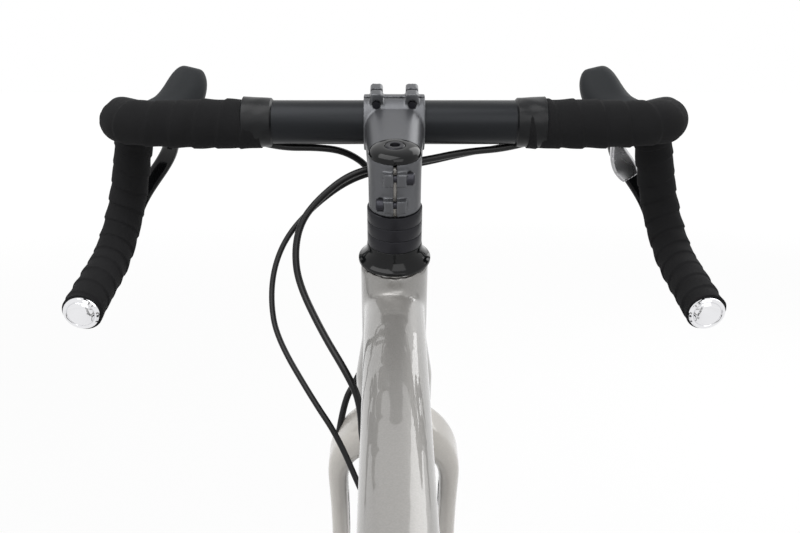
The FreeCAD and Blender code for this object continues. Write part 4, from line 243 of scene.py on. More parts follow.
# Turned and anodised rings, a little browner and duller than the stem.
RING_ANODISED = Finish("turned_anodised_aluminium", "#222226", 0.34, metallic=0.5, ior=1.35,
                       grain_size=0.0006, grain_depth=0.000012, stretch=(0.1, 0.1, 1.0), shade=0.12)
# Bare aluminium, drawn lengthwise.
BARE_ALUMINIUM = Finish("brushed_bare_aluminium", "#c4c4c6", 0.28, metallic=1.0, grain_size=0.0004,
                        stretch=(1.0, 1.0, 0.08), shade=0.08)
# Ground stainless steel of discs, chain plates and sprockets.
STEEL = Finish("ground_stainless_steel", "#b3b2b0", 0.30, metallic=1.0, shade=0.12)
# Blackened steel of spokes and screws.
DARK_STEEL = Finish("blackened_steel", "#35353a", 0.36, metallic=0.9, shade=0.15)
# Polished chrome on plastic: a mirror with a faint haze.
CHROME = Finish("polished_chrome", "#e8e8ea", 0.07, metallic=1.0, grain_size=0.001,
                grain_depth=0.000004, shade=0.03, uneven=0.03)
# Gloss lacquered plastic of the cap and the cone.
GLOSS_BLACK = Finish("gloss_black_lacquer", "#0a0b0c", 0.12, ior=1.3, coat=0.05, coat_roughness=0.02,
                     grain_size=0.0015, grain_depth=0.000004, shade=0.15, uneven=0.04)
# Moulded glass-filled nylon: dull black with a pebbled tooth.
BLACK_NYLON = Finish("moulded_black_nylon", "#1e1e20", 0.55, grain=Grain.PEBBLE, grain_size=0.0007,
                     grain_depth=0.00003)
# Foam-backed microfibre tape: almost no shine, a suede nap and a few worn spots.
BAR_TAPE = Finish("microfibre_bar_tape", "#1c1c1d", 0.88, ior=1.2, grain_size=0.0011,
                  grain_depth=0.00022, shade=0.22, cloud_size=0.022)
# Stretched vinyl tape: black with a wet-looking shine.
VINYL = Finish("stretched_vinyl_band", "#101113", 0.32, ior=1.28, coat=0.05, coat_roughness=0.15,
               grain_size=0.002, grain_depth=0.00004, stretch=(1.0, 0.15, 1.0))
# Moulded silicone rubber of the hoods: charcoal, chalky, finely dimpled.
HOOD_RUBBER = Finish("moulded_hood_rubber", "#232527", 0.62, ior=1.25, grain=Grain.PEBBLE,
                     grain_size=0.0012, grain_depth=0.00005)
# Vulcanised tyre rubber: dusty black with a fine mould grain.
TYRE_RUBBER = Finish("vulcanised_tyre_rubber", "#1e1e1f", 0.78, ior=1.3, grain_size=0.0015,
                     grain_depth=0.00008, shade=0.2)
# Extruded hose and cable jacket: smooth satin black.
HOSE_JACKET = Finish("extruded_hose_jacket", "#0e0e0f", 0.34, ior=1.35, grain_size=0.003, shade=0.15)
# Coated synthetic leather with a close pebble.
SADDLE_COVER = Finish("pebbled_saddle_cover", "#1f1f21", 0.58, grain=Grain.PEBBLE,
                      grain_size=0.0013, grain_depth=0.00009, shade=0.12)


def piece(name: str, bm: Shape, finish: Finish, body: str | None,
          nodes: Sequence[str] = ()) -> Object:
    """Turn a finished bmesh into a piece of the bike.

    Args:
        name: name of the piece.
        bm: its shape, which is freed.
        finish: its finish.
        body: body that it rides on, or None to leave it unattached.
        nodes: solids that it stands for.

    Returns:
        The new object.
    """
    bmesh.ops.recalc_face_normals(bm, faces=bm.faces)
    mesh = mesh_of(bm, name)
    mesh.shade_smooth()
    mesh.set_sharp_from_angle(angle=SHARP)
    mesh.materials.append(finish.material())
    item = put(name, mesh)
    if body:
        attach(item, body)
    if nodes:
        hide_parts(*nodes)
    LOG.info("%s on %s with %d faces", name, body, len(mesh.polygons))
    return item


def facing(origin: Vector, along: Vector, right: Vector = ACROSS) -> Matrix:
    """Placement whose third axis runs along a direction.

    Args:
        origin: its origin.
        along: direction of its third axis.
        right: direction that its first axis leans to.

    Returns:
        The placement.
    """
    third = along.normalized()
    first = (right - third * right.dot(third)).normalized()
    turn = Matrix((first, third.cross(first), third)).transposed()
    return Matrix.Translation(origin) @ turn.to_4x4()


def turned(rows: Sequence[tuple[float, float]], place: Matrix, steps: int = 64,
           soft: float = 0.0, closed: bool = False) -> Shape:
    """Shape turned from rows of radius and height.

    Args:
        rows: radius and height along the axis, in order.
        place: placement whose third axis is the axis of turning.
        steps: sides of the turned shape.
        soft: width of the bevel on its sharp edges.
        closed: whether the last row joins the first.

    Returns:
        The shape.
    """
    bm = bmesh.new()
    points = [bm.verts.new((radius, 0.0, height)) for radius, height in rows]
    ends = points[1:] + points[:1] if closed else points[1:]
    edges = [bm.edges.new(pair) for pair in zip(points, ends)]
    bmesh.ops.spin(bm, geom=points + edges, cent=(0, 0, 0), axis=(0, 0, 1), dvec=(0, 0, 0),
                   angle=math.tau, steps=steps, use_merge=True, use_duplicate=False)
    bmesh.ops.remove_doubles(bm, verts=bm.verts, dist=WELD)
    bmesh.ops.recalc_face_normals(bm, faces=bm.faces)
    if soft:
        soften(bm, soft)
    bmesh.ops.transform(bm, matrix=place, verts=bm.verts)
    return bm


def soften(bm: Shape, width: float) -> None:
    """Bevel every sharp edge of a shape to a width."""
    sharp = [e for e in bm.edges if e.is_manifold and e.calc_face_angle(0.0) > SHARP]
    bmesh.ops.bevel(bm, geom=sharp, offset=width, offset_type="OFFSET", segments=3, profile=0.5,
                    affect="EDGES", clamp_overlap=True, material=-1)


def stations(line: Sequence[Vector]) -> list[tuple[float, Matrix]]:
    """Distance and untwisted placement at each point of a line.

    Args:
        line: points in order.

    Returns:
        Distance from the start, and a placement whose third axis runs along the line.
    """
    made = []
    gone = 0.0
    side = None
    for i, point in enumerate(line):
        way = (line[min(i + 1, len(line) - 1)] - line[max(i - 1, 0)]).normalized()
        if side is None:
            side = way.orthogonal()
        gone += (point - line[i - 1]).length if i else 0.0
        place = facing(point, way, side)
        side = place.to_3x3().col[0]
        made.append((gone, place))
    return made


def tube(line: Sequence[Vector], radius: Callable[[float, float], float],
         sides: int) -> Shape:
    """Closed tube along a line.

    Args:
        line: points in order.
        radius: radius at a distance along the line and an angle round it.
        sides: sides of the tube.

    Returns:
        The shape.
    """
    bm = bmesh.new()
    made = stations(line)
    ring = bmesh.ops.create_circle(bm, segments=sides, radius=1.0)["verts"]
    edges = list(bm.edges)
    start = list(edges)
    last = Matrix.Identity(4)
    for i, (gone, place) in enumerate(made):
        if i:
            grown = bmesh.ops.extrude_edge_only(bm, edges=edges)["geom"]
            ring = [g for g in grown if isinstance(g, bmesh.types.BMVert)]
            edges = [g for g in grown if isinstance(g, bmesh.types.BMEdge)
                     and g.verts[0] in ring and g.verts[1] in ring]
        back = last.inverted()
        for vert in ring:
            spot = back @ vert.co
            turn = math.atan2(spot.y, spot.x)
            out = radius(gone, turn)
            vert.co = place @ Vector((out * math.cos(turn), out * math.sin(turn), 0.0))
        last = place
    for rim in (start, edges):
        bmesh.ops.contextual_create(bm, geom=rim)
    return bm


def islands(bm: Shape) -> list[list[bmesh.types.BMFace]]:
    """Faces of each separate shell of a shape.

    Args:
        bm: the shape.

    Returns:
        One list of faces for each shell.
    """
    left = set(bm.faces)
    found = []
    while left:
        shell = [left.pop()]
        for face in shell:
            for edge in face.edges:
                fresh = [f for f in edge.link_faces if f in left]
                left.difference_update(fresh)
                shell.extend(fresh)
        found.append(shell)
    return found


def core_of(shell: Sequence[bmesh.types.BMFace], inset: float) -> Shape:
    """Filled convex core under a tube's outer face.

    Args:
        shell: faces of the tube.
        inset: depth of the core under the face.

    Returns:
        The core.
    """
    bm = bmesh.new()
    for spot in dict.fromkeys(tuple(v.co) for face in shell for v in face.verts):
        bm.verts.new(spot)
    bmesh.ops.convex_hull(bm, input=bm.verts)
    inner = [v for v in bm.verts if not v.link_faces]
    bmesh.ops.delete(bm, geom=inner, context="VERTS")
    bmesh.ops.recalc_face_normals(bm, faces=bm.faces)
    bm.normal_update()
    for vert in bm.verts:
        vert.co -= vert.normal * inset
    return bm


def draw_to(bm: Shape, form: BVHTree, near: float, far: float) -> None:
    """Lay a skin on the form under it, but leave it free where it bridges a joint.

    Args:
        bm: the skin.
        form: faces of the form.
        near: distance up to which a point is laid on the form.
        far: distance beyond which it stays where it is.
    """
    for vert in bm.verts:
        spot, _, _, gap = form.find_nearest(vert.co)
        vert.co = vert.co.lerp(spot, share_of(gap, far, near))


def relax(bm: Shape, passes: int) -> None:
    """Smooth a shape a number of times."""
    for _ in range(passes):
        bmesh.ops.smooth_vert(bm, verts=bm.verts, factor=0.5, use_axis_x=True, use_axis_y=True,
                              use_axis_z=True)


def skin(nodes: Sequence[str], voxel: float, passes: int, tubes: float = 0.0) -> Shape:
    """Smooth closed skin over copies of solids, with their joints drawn together.

    Args:
        nodes: solids to cover.
        voxel: cell of the skin.
        passes: times that it is smoothed.
        tubes: wall of thin tubes that are filled, or zero; their skin is laid on the solids again.

    Returns:
        The shape, without the hollows inside.
    """
    rough = bmesh.new()
    for name in nodes:
        rough.from_mesh(frame["nodes"][name].data)
    bmesh.ops.remove_doubles(rough, verts=rough.verts, dist=WELD)
    form = None
    if tubes:
        form = BVHTree.FromBMesh(rough)
        for shell in islands(rough):
            across = [v.co.x for f in shell for v in f.verts]
            if max(across) - min(across) > LONG_TUBE and max(across) > 0:
                join(rough, core_of(shell, tubes))
    bmesh.ops.transform(rough, matrix=SKEW, verts=rough.verts)
    mesh = mesh_of(rough, "skin_form")
    holder = put("skin_form", mesh)
    cells = holder.modifiers.new("cells", "REMESH")
    cells.mode = "VOXEL"
    cells.voxel_size = voxel
    graph = bpy.context.evaluated_depsgraph_get()
    made = bpy.data.meshes.new_from_object(holder.evaluated_get(graph))
    bm = bmesh.new()
    bm.from_mesh(made)
    bpy.data.objects.remove(holder)
    for old in (mesh, made):
        bpy.data.meshes.remove(old)
    for shell in islands(bm):
        middle = shell[0].calc_center_median()
        volume = sum((f.calc_center_median() - middle).dot(f.normal) * f.calc_area() for f in shell)
        if volume < 0:
            bmesh.ops.delete(bm, geom=shell, context="FACES")
    bmesh.ops.transform(bm, matrix=SKEW.inverted(), verts=bm.verts)
    relax(bm, passes)
    if form:
        draw_to(bm, form, 0.5 * tubes, tubes)
        relax(bm, LAID_PASSES)
    return bm


def cover(name: str, nodes: Sequence[str], cell: float, passes: int, finish: Finish,
          body: str, tubes: float = 0.0) -> Object:
    """Make a piece that is a smooth skin over the solids that it stands for."""
    return piece(name, skin(nodes, cell, passes, tubes), finish, body, nodes)


def smooth_line(route: Sequence[Vector], steps: int) -> list[Vector]:
    """Points along a smooth spline drawn over a route.

    Args:
        route: points of the route.
        steps: points for each run of the route.

    Returns:
        The points.
    """
    data = bpy.data.curves.new("route", "CURVE")
    data.dimensions = "3D"
    spline = data.splines.new("NURBS")
    spline.points.add(len(route) - 1)
    for point, spot in zip(spline.points, route):
        point.co = (*spot, 1.0)
    spline.order_u = 3
    spline.use_endpoint_u = True
    spline.resolution_u = steps
    holder = bpy.data.objects.new("route", data)
    mesh = bpy.data.meshes.new_from_object(holder)
    line = [v.co.copy() for v in mesh.vertices]
    bpy.data.objects.remove(holder)
    bpy.data.curves.remove(data)
    bpy.data.meshes.remove(mesh)
    return line


def joint(name: str) -> tuple[Vector, Vector]:
    """Point on a joint's axis, and the axis."""
    found = next(j for j in frame["joints"] if j["name"] == name)
    return Vector(found["pos_m"]), Vector(found["axis"])


def middle_of(node: str) -> Vector:
    """Middle of a solid's box."""
    low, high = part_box(node)
    return (low + high) / 2


def dress(finish: Finish, *nodes: str) -> None:
    """Give solids that stay in view a finish.

    Args:
        finish: the finish.
        nodes: names of the solids.
    """
    for name in nodes:
        slots = frame["nodes"][name].data.materials
        slots.clear()
        slots.append(finish.material())
        LOG.info("%s dressed in %s", name, finish.name)


class SteeringAxis:
    """Line that the fork and the bar turn about, with places counted along it."""

    def __init__(self) -> None:
        """Read the line from the steering joint."""
        self.foot, self.up = joint("steering")
        self.ahead = Vector((self.up.z, 0.0, -self.up.x))

    def at(self, along: float, ahead: float = 0.0, side: float = 0.0) -> Vector:
        """Place counted up the axis from the head tube's foot, ahead of it and to its left."""
        return self.foot + self.up * along + self.ahead * ahead + ACROSS * side

    def place(self, along: float) -> Matrix:
        """Placement on the axis, facing up it."""
        return facing(self.at(along), self.up)


@dataclass
class Cockpit:
    """Stem, cap, spacers and cone on the steerer."""

    axis: SteeringAxis
    head_top: float = 0.130
    bore: float = 0.0145
    sides: int = 96
    cone_height: float = 0.0142
    cone_base: float = 0.0248
    cone_neck: float = 0.0186
    cone_lift: float = 0.0003
    cone_lip: float = 0.18
    cone_curve: float = 2.2
    cone_step: float = 0.94
    spacer_height: float = 0.009
    spacer_radius: float = 0.0185
    spacer_count: int = 3
    stem_cell: float = 0.0007
    clamp_height: float = 0.0375
    cap_radius: float = 0.0173
    cap_height: float = 0.0062
    cap_edge: float = 0.2
    cap_hole: float = 0.0032
    dome_start: float = 0.4
    well_radius: float = 0.0069
    well_depth: float = 0.0030
    bolt_head: float = 0.0066
    bolt_rise: float = 0.0004
    bolt_round: float = 0.0008
    bolt_shank: float = 0.003
    bolt_end: float = -0.028
    socket_radius: float = 0.0034
    socket_depth: float = 0.0026
    nut_radius: float = 0.0114
    nut_ends: tuple[float, float] = (-0.031, -0.021)

    def __post_init__(self) -> None:
        """Find the placement of the cap's foot, on top of the stem."""
        foot = self.head_top + self.cone_height + self.spacer_count * self.spacer_height
        self.cap_place = self.axis.place(foot + self.clamp_height)

    def build(self) -> None:
        """Build the pieces from the cone up."""
        self.build_cone()
        self.build_spacers()
        for name, node in (("stem_body", "stem"), ("stem_front_plate", "stem_faceplate")):
            cover(name, [node], self.stem_cell, 3, GREY_ANODISED, "steering")
        dress(DARK_STEEL, "stem_bolts")
        self.build_cap()
        self.build_cap_bolt()

    def build_cone(self) -> None:
        """Flared gloss cone that covers the upper bearing."""
        flare = self.cone_base - self.cone_neck
        lip = self.cone_lip * self.cone_height
        rows = [(self.bore, self.cone_lift), (self.cone_base, self.cone_lift), (self.cone_base, lip)]
        for share in (0.08, 0.2, 0.35, 0.52, 0.72, 1.0):
            out = self.cone_neck + flare * (1 - share) ** self.cone_curve * self.cone_step
            rows.append((out, lip + (self.cone_height - lip) * share))
        rows.append((self.bore, self.cone_height))
        shape = turned(rows, self.axis.place(self.head_top), self.sides, 0.0004, closed=True)
        piece("headset_cone", shape, GLOSS_BLACK, "steering", ["headset_cover"])

    def build_spacers(self) -> None:
        """Rings between the cone and the stem, parted by fine grooves."""
        whole = bmesh.new()
        rows = [(self.bore, 0.0), (self.spacer_radius, 0.0),
                (self.spacer_radius, self.spacer_height), (self.bore, self.spacer_height)]
        for i in range(self.spacer_count):
            place = self.axis.place(self.head_top + self.cone_height + i * self.spacer_height)
            join(whole, turned(rows, place, self.sides, 0.0006, closed=True))
        piece("spacer_rings", whole, RING_ANODISED, "steering", ["headset_spacers"])

    def build_cap(self) -> None:
        """Domed gloss cap with a well for its bolt."""
        edge = self.cap_edge * self.cap_height
        rows = [(self.cap_hole, 0.0), (self.cap_radius, 0.0), (self.cap_radius, edge)]
        for share in (0.94, 0.86, 0.76, 0.64, 0.52):
            rise = (1 - ((share - self.dome_start) / (1 - self.dome_start)) ** 2) ** 0.5
            rows.append((self.cap_radius * share, edge + (self.cap_height - edge) * rise))
        rows += [(self.well_radius, self.cap_height), (self.well_radius, self.well_depth),
                 (self.cap_hole, self.well_depth)]
        shape = turned(rows, self.cap_place, self.sides, 0.0003, closed=True)
        piece("steerer_cap", shape, GLOSS_BLACK, "steering", ["top_cap"])

    def build_cap_bolt(self) -> None:
        """Bolt with a socket, and its nut in the steerer."""
        head, shank, low = self.bolt_head, self.bolt_shank, self.bolt_end
        top = self.cap_height + self.bolt_rise
        floor = top - self.socket_depth
        rows = [(0.0, low), (shank, low), (shank, self.well_depth), (head, self.well_depth),
                (head, top - self.bolt_round), (head - self.bolt_round, top), (self.socket_radius, top),
                (self.socket_radius - 0.0003, floor), (0.0, floor)]
        bolt = turned(rows, self.cap_place, self.sides // 2, 0.0002)
        foot, rim = self.nut_ends
        rows = [(shank, foot), (self.nut_radius, foot), (self.nut_radius, rim), (shank, rim)]
        join(bolt, turned(rows, self.cap_place, self.sides // 2, 0.0004, closed=True))
        piece("cap_bolt", bolt, RING_ANODISED, "steering", ["top_cap_bolt"])


@dataclass
class DropBar:
    """Flared drop bar with its tape, bands and plugs."""

    half_width: float = 0.2048
    reach: float = 0.071
    ramp_fall: float = 0.017
    drop: float = 0.125
    tail: float = 0.044
    tail_tilt: float = math.radians(15.2)
    flare: float = math.radians(12.5)
    roll: float = math.radians(12.6)
    bends: Spot = (0.030, 0.036, 0.060)
    thick_half: float = 0.140
    taper: float = 0.024
    thick_radius: float = 0.0159
    thin_radius: float = 0.0119
    band_start: float = 0.088
    band_width: float = 0.018
    band_wall: float = 0.0014
    band_grow: float = 0.0009
    band_crease: float = 0.00018
    band_edge: float = 0.0012
    band_gap: float = 0.0002
    tape_radius: float = 0.0173
    # How much thinner the tape lies past the bar's taper, down the drop and under the hood.
    tape_thins: Spot = (0.0016, 0.0012, 0.0030)
    tape_settle: float = 0.05
    drop_start: float = 0.235
    # Ways along the bar at which the hood starts to cover the tape, covers it, and leaves it again.
    hood_covers: tuple[float, ...] = (0.226, 0.236, 0.262, 0.272)
    wrap_pitch: float = 0.0172
    wrap_step: float = 0.0011
    wrap_sag: float = 0.0012
    wrap_sway: float = 0.0002
    lap_share: float = 0.93
    step: float = 0.0011

    def __post_init__(self) -> None:
        """Find the bar's middle from its bands, and the centre line of each half."""
        self.middle = middle_of("finishing_bands")
        left = self.line()
        self.halves = {"left": left, "right": [Vector((p.x, -p.y, p.z)) for p in left]}

    def in_plane(self, forward: float, down: float) -> Vector:
        """Place on the left half, in its flared and rolled drop plane."""
        fall = down * math.cos(self.flare)
        ahead = forward * math.cos(self.roll) + fall * math.sin(self.roll)
        up = forward * math.sin(self.roll) - fall * math.cos(self.roll)
        return self.middle + Vector((ahead, self.half_width + down * math.sin(self.flare), up))

    def line(self) -> list[Vector]:
        """Centre line of the left half, in short even steps with round bends."""
        fall = self.tail * math.tan(self.tail_tilt)
        corners = [self.middle, self.in_plane(0, 0), self.in_plane(self.reach, self.ramp_fall),
                   self.in_plane(self.reach, self.drop), self.in_plane(-self.tail, self.drop + fall)]
        points = [corners[0]]
        for before, corner, after, radius in zip(corners, corners[1:], corners[2:], self.bends):
            back = (before - corner).normalized()
            on = (after - corner).normalized()
            half = back.angle(on) / 2
            centre = corner + (back + on).normalized() * (radius / math.sin(half))
            enter = corner + back * (radius / math.tan(half))
            leave = corner + on * (radius / math.tan(half))
            points += self.run(points[-1], enter)
            turn = math.pi - 2 * half
            count = max(round(radius * turn / self.step), 2)
            for i in range(1, count + 1):
                way = (enter - centre).slerp(leave - centre, i / count)
                points.append(centre + way.normalized() * radius)
        return points + self.run(points[-1], corners[-1])

    def run(self, start: Vector, end: Vector) -> list[Vector]:
        """Even steps of a straight run, without its start."""
        count = max(round((end - start).length / self.step), 1)
        return [start.lerp(end, i / count) for i in range(1, count + 1)]

    def bar_radius(self, gone: float) -> float:
        """Bare bar radius at a distance from the middle."""
        share = share_of(gone, self.thick_half, self.thick_half + self.taper)
        return self.thick_radius + (self.thin_radius - self.thick_radius) * share

    def build(self) -> None:
        """Build the bar and what is on it."""
        left = self.halves["left"]
        whole = self.halves["right"][::-1] + left[1:]
        length = sum((b - a).length for a, b in zip(left, left[1:]))
        bar = tube(whole[::3], lambda gone, turn: self.bar_radius(abs(gone - length)), 40)
        piece("drop_bar", bar, BLACK_ANODISED, "steering", ["handlebar"])
        for name in self.halves:
            self.build_tape(name)
        self.build_bands()
        self.build_plugs()

    def build_tape(self, name: str) -> None:
        """Tape wound up the bar, each turn lapping over the one before.

        Args:
            name: side of the bar.
        """
        offset = self.band_start + 0.5 * self.band_width
        run = []
        for point in self.halves[name][round(offset / self.step):]:
            share = share_of(abs(point.y), self.half_width, offset)
            run.append(point - Vector((0.0, 0.0, self.wrap_sag * min(3 * share, 1.0))))
        sense = 1.0 if name == "left" else -1.0
        taper_thin, drop_thin, hood_thin = self.tape_thins
        under, full, leave, clear = self.hood_covers

        def radius(gone: float, turn: float) -> float:
            along = gone + offset
            phase = (along / self.wrap_pitch + sense * turn / math.tau) % 1.0
            back = (1.0 - phase) / (1.0 - self.lap_share) * self.lap_share
            lap = phase if phase < self.lap_share else back
            taper = share_of(along, self.thick_half, self.thick_half + self.tape_settle)
            drop = share_of(along, self.drop_start, self.drop_start + self.tape_settle)
            hidden = ease(along, under, full) - ease(along, leave, clear)
            thinned = taper_thin * taper + drop_thin * drop + hood_thin * hidden
            sway = self.wrap_sway * math.sin(along * 290 + 2.1 * turn)
            return self.tape_radius - thinned + self.wrap_step * lap + sway

        piece(f"wound_tape_{name}", tube(run, radius, 56), BAR_TAPE, "steering",
              [f"bar_tape_{name}"])

    def build_bands(self) -> None:
        """Vinyl bands that end the tape, with their stretch wrinkles."""
        whole = bmesh.new()
        width = 1.25 * self.band_width
        for sense in (1.0, -1.0):
            start = self.middle + ACROSS * (sense * self.band_start)
            end = start + ACROSS * (sense * width)

            def radius(gone: float, turn: float) -> float:
                lift = share_of(min(gone, width - gone), 0.0, self.band_edge) ** 0.5
                crease = math.sin(5 * turn + 400 * gone * sense) * math.sin(2 * turn + 1.3)
                grow = self.band_grow * gone / self.band_width
                wall = self.band_wall + grow + self.band_crease * crease
                return self.thick_radius + self.band_gap + lift * wall

            join(whole, tube([start.lerp(end, i / 18) for i in range(19)], radius, 72))
        piece("vinyl_bands", whole, VINYL, "steering", ["finishing_bands"])

    def build_plugs(self) -> None:
        """Polished plugs in the bar ends."""
        whole = bmesh.new()
        rows = [(0.0, -0.012), (0.0095, -0.012), (0.0098, 0.0), (0.0136, 0.0), (0.0138, 0.0012),
                (0.0134, 0.0026), (0.0120, 0.0036), (0.0109, 0.0034), (0.0104, 0.0030),
                (0.0100, 0.0036), (0.0078, 0.0049), (0.0045, 0.0057), (0.0, 0.0060)]
        for line in self.halves.values():
            join(whole, turned(rows, facing(line[-1], line[-1] - line[-4]), 64))
        piece("polished_end_plugs", whole, CHROME, "steering", ["bar_end_plugs"])


@dataclass
class ControlLevers:
    """Hoods, brake levers and the shift paddle."""

    hood_cell: float = 0.0013
    lever_cell: float = 0.0008
    hood_sink: float = 0.004
    horn_lift: float = 0.010
    horn_shift: float = 0.005

    # Where the rubber starts and ends to move: up from the bar's middle, or ahead of it.
    top_zone = (-0.004, 0.010)
    sink_zone = (0.030, 0.075)
    shift_zone = (0.075, 0.115)
    lift_zone = (0.095, 0.128)

    def settle(self, hood: Shape) -> None:
        """Sink the rubber's back behind the bar, and lift its horn and lean it inwards.

        Args:
            hood: rubber of one hood.
        """
        middle = middle_of("finishing_bands")
        for vert in hood.verts:
            ahead, side, up = vert.co - middle
            top = ease(up, *self.top_zone)
            sink = self.hood_sink * ease(ahead, *self.sink_zone)
            lift = self.horn_lift * ease(ahead, *self.lift_zone)
            shift = self.horn_shift * ease(ahead, *self.shift_zone)
            vert.co.z += top * (lift - sink)
            vert.co.y -= math.copysign(top * shift, side)

    def build(self) -> None:
        """Build both sides."""
        for side in ("left", "right"):
            hood = skin([f"lever_hood_{side}"], self.hood_cell, 12)
            self.settle(hood)
            piece(f"rubber_hood_{side}", hood, HOOD_RUBBER, "steering",
                  [f"lever_hood_{side}"])
            cover(f"lever_blade_{side}", [f"brake_lever_{side}"], self.lever_cell, 6, GLOSS_BLACK,
                  f"{side}_lever")
        cover("paddle_blade", ["shift_paddle"], self.lever_cell, 5, BARE_ALUMINIUM,
              "paddle")
        dress(STEEL, "lever_pivot_pins")


@dataclass
class CableLoops:
    """Hoses and the gear cable between the bar, the frame and the fork."""

    axis: SteeringAxis
    hose_radius: float = 0.0026
    shift_radius: float = 0.0021

    # Routes, counted up the steering axis from the head tube's foot, ahead of it and to its left.
    rear_hose = (
        (0.1860, 0.0790, -0.1080), (0.1800, 0.0755, -0.0877), (0.1774, 0.0738, -0.0512),
        (0.1725, 0.0699, -0.0224), (0.1693, 0.0671, 0.0070), (0.1651, 0.0622, 0.0326),
        (0.1492, 0.0548, 0.0548), (0.1341, 0.0456, 0.0688), (0.1158, 0.0331, 0.0731),
        (0.0973, 0.0185, 0.0698), (0.0754, -0.0110, 0.0519), (0.0592, -0.0386, 0.0330),
        (0.0440, -0.0510, 0.0235), (0.0020, -0.0560, 0.0227), (-0.0090, -0.0741, 0.0113),
    )
    gear_cable = (
        (0.1860, 0.0800, -0.1080), (0.1800, 0.0807, -0.0877), (0.1730, 0.0800, -0.0517),
        (0.1658, 0.0790, -0.0224), (0.1618, 0.0770, 0.0071), (0.1565, 0.0699, 0.0332),
        (0.1414, 0.0617, 0.0572), (0.1230, 0.0503, 0.0781), (0.1035, 0.0364, 0.0890),
        (0.0835, 0.0181, 0.0913), (0.0649, -0.0039, 0.0856), (0.0388, -0.0422, 0.0576),
        (0.0225, -0.0624, 0.0394), (-0.0125, -0.0805, 0.0230), (-0.0237, -0.1007, 0.0115),
    )
    front_hose = (
        (0.1860, 0.0790, 0.1080), (0.1800, 0.0755, 0.0877), (0.1790, 0.0785, 0.0520),
        (0.1730, 0.0815, 0.0330), (0.1583, 0.0840, 0.0170), (0.1233, 0.0820, 0.0073),
        (0.0863, 0.0740, 0.0083), (0.0475, 0.0590, 0.0116), (0.0194, 0.0420, 0.0180),
        (0.0, 0.0270, 0.0300), (-0.0130, 0.0160, 0.0400), (-0.0395, 0.0, 0.0445),
    )

    # Rear ends, counted from the rear axle.
    hose_tail = ((0.1440, 0.0554, -0.0160), (0.1344, 0.0568, 0.0160), (0.1024, 0.0568, 0.0320),
                 (0.0640, 0.0568, 0.0224))
    gear_tail = ((0.0608, -0.0752, -0.0096), (0.0352, -0.0921, 0.0), (-0.0032, -0.0940, 0.0080),
                 (-0.0368, -0.0940, 0.0016), (-0.0512, -0.0940, -0.0192), (-0.0352, -0.0940, -0.0384),
                 (-0.0080, -0.0940, -0.0304))

    def cable(self, route: Sequence[Vector], radius: float) -> Shape:
        """Even tube along a smooth line over a route."""
        return tube(smooth_line(route, 12), lambda gone, turn: radius, 20)

    def build(self) -> None:
        """Build the loops from the bar to the frame, the hose that rides on the steering, and the rear tails."""
        top = self.axis.at(0.150)
        foot = self.axis.at(0.010, -0.050)
        for name, route, radius in (("rear_brake_hose", self.rear_hose, self.hose_radius),
                                    ("gear_cable", self.gear_cable, self.shift_radius)):
            line = [self.axis.at(*row) for row in route]
            item = piece(name, self.cable(line, radius), HOSE_JACKET, None)
            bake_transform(item)
            if name == "rear_brake_hose":
                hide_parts("control_cables")
        hose = self.cable([self.axis.at(*row) for row in self.front_hose], self.hose_radius)
        piece("fork_brake_hose", hose, HOSE_JACKET, "steering", ["front_brake_hose"])
        axle = joint("rear_wheel_spin")[0]
        tails = self.cable([axle + Vector(row) for row in self.hose_tail], self.hose_radius)
        join(tails, self.cable([axle + Vector(row) for row in self.gear_tail], self.shift_radius))
        piece("rear_cable_tails", tails, HOSE_JACKET, "frame")


@dataclass
class FrameSet:
    """Welded frame and fork under their lacquer."""

    cell: float = 0.0023
    fork_cell: float = 0.0019
    wall: float = 0.0017
    collar_width: float = 2.4
    collar_ends: tuple[float, float] = (-0.0025, 0.0003)

    def build(self) -> None:
        """Build the frame, the fork and the small fittings of the frame."""
        cover("lacquered_frame", ["main_frame", "rear_stays"], self.cell, 10, FRAME_PAINT,
              "frame", self.wall)
        cover("lacquered_fork", ["fork"], self.fork_cell, 8, FORK_PAINT, "steering",
              self.wall)
        self.build_collars()
        dress(STEEL, "headset_bearings")
        dress(BLACK_ANODISED, "bottom_bracket_cups", "front_thru_axle", "rear_thru_axle")

    def build_collars(self) -> None:
        """Threaded collars in the bottle bosses."""
        whole = bmesh.new()
        low, high = self.collar_ends
        for mount in frame["record"]["mounts"]:
            if "_boss_" not in mount["name"]:
                continue
            way = Vector(mount["axis"])
            face = Vector(mount["pos_m"]) + way * (mount["dims"]["length_mm"] / 2000)
            bore = mount["dims"]["r_mm"] / 1000
            out = self.collar_width * bore
            rows = [(bore, low), (out, low), (out, high), (bore, high)]
            join(whole, turned(rows, facing(face, way), 32, 0.0002, closed=True))
        piece("boss_collars", whole, BARE_ALUMINIUM, "frame")


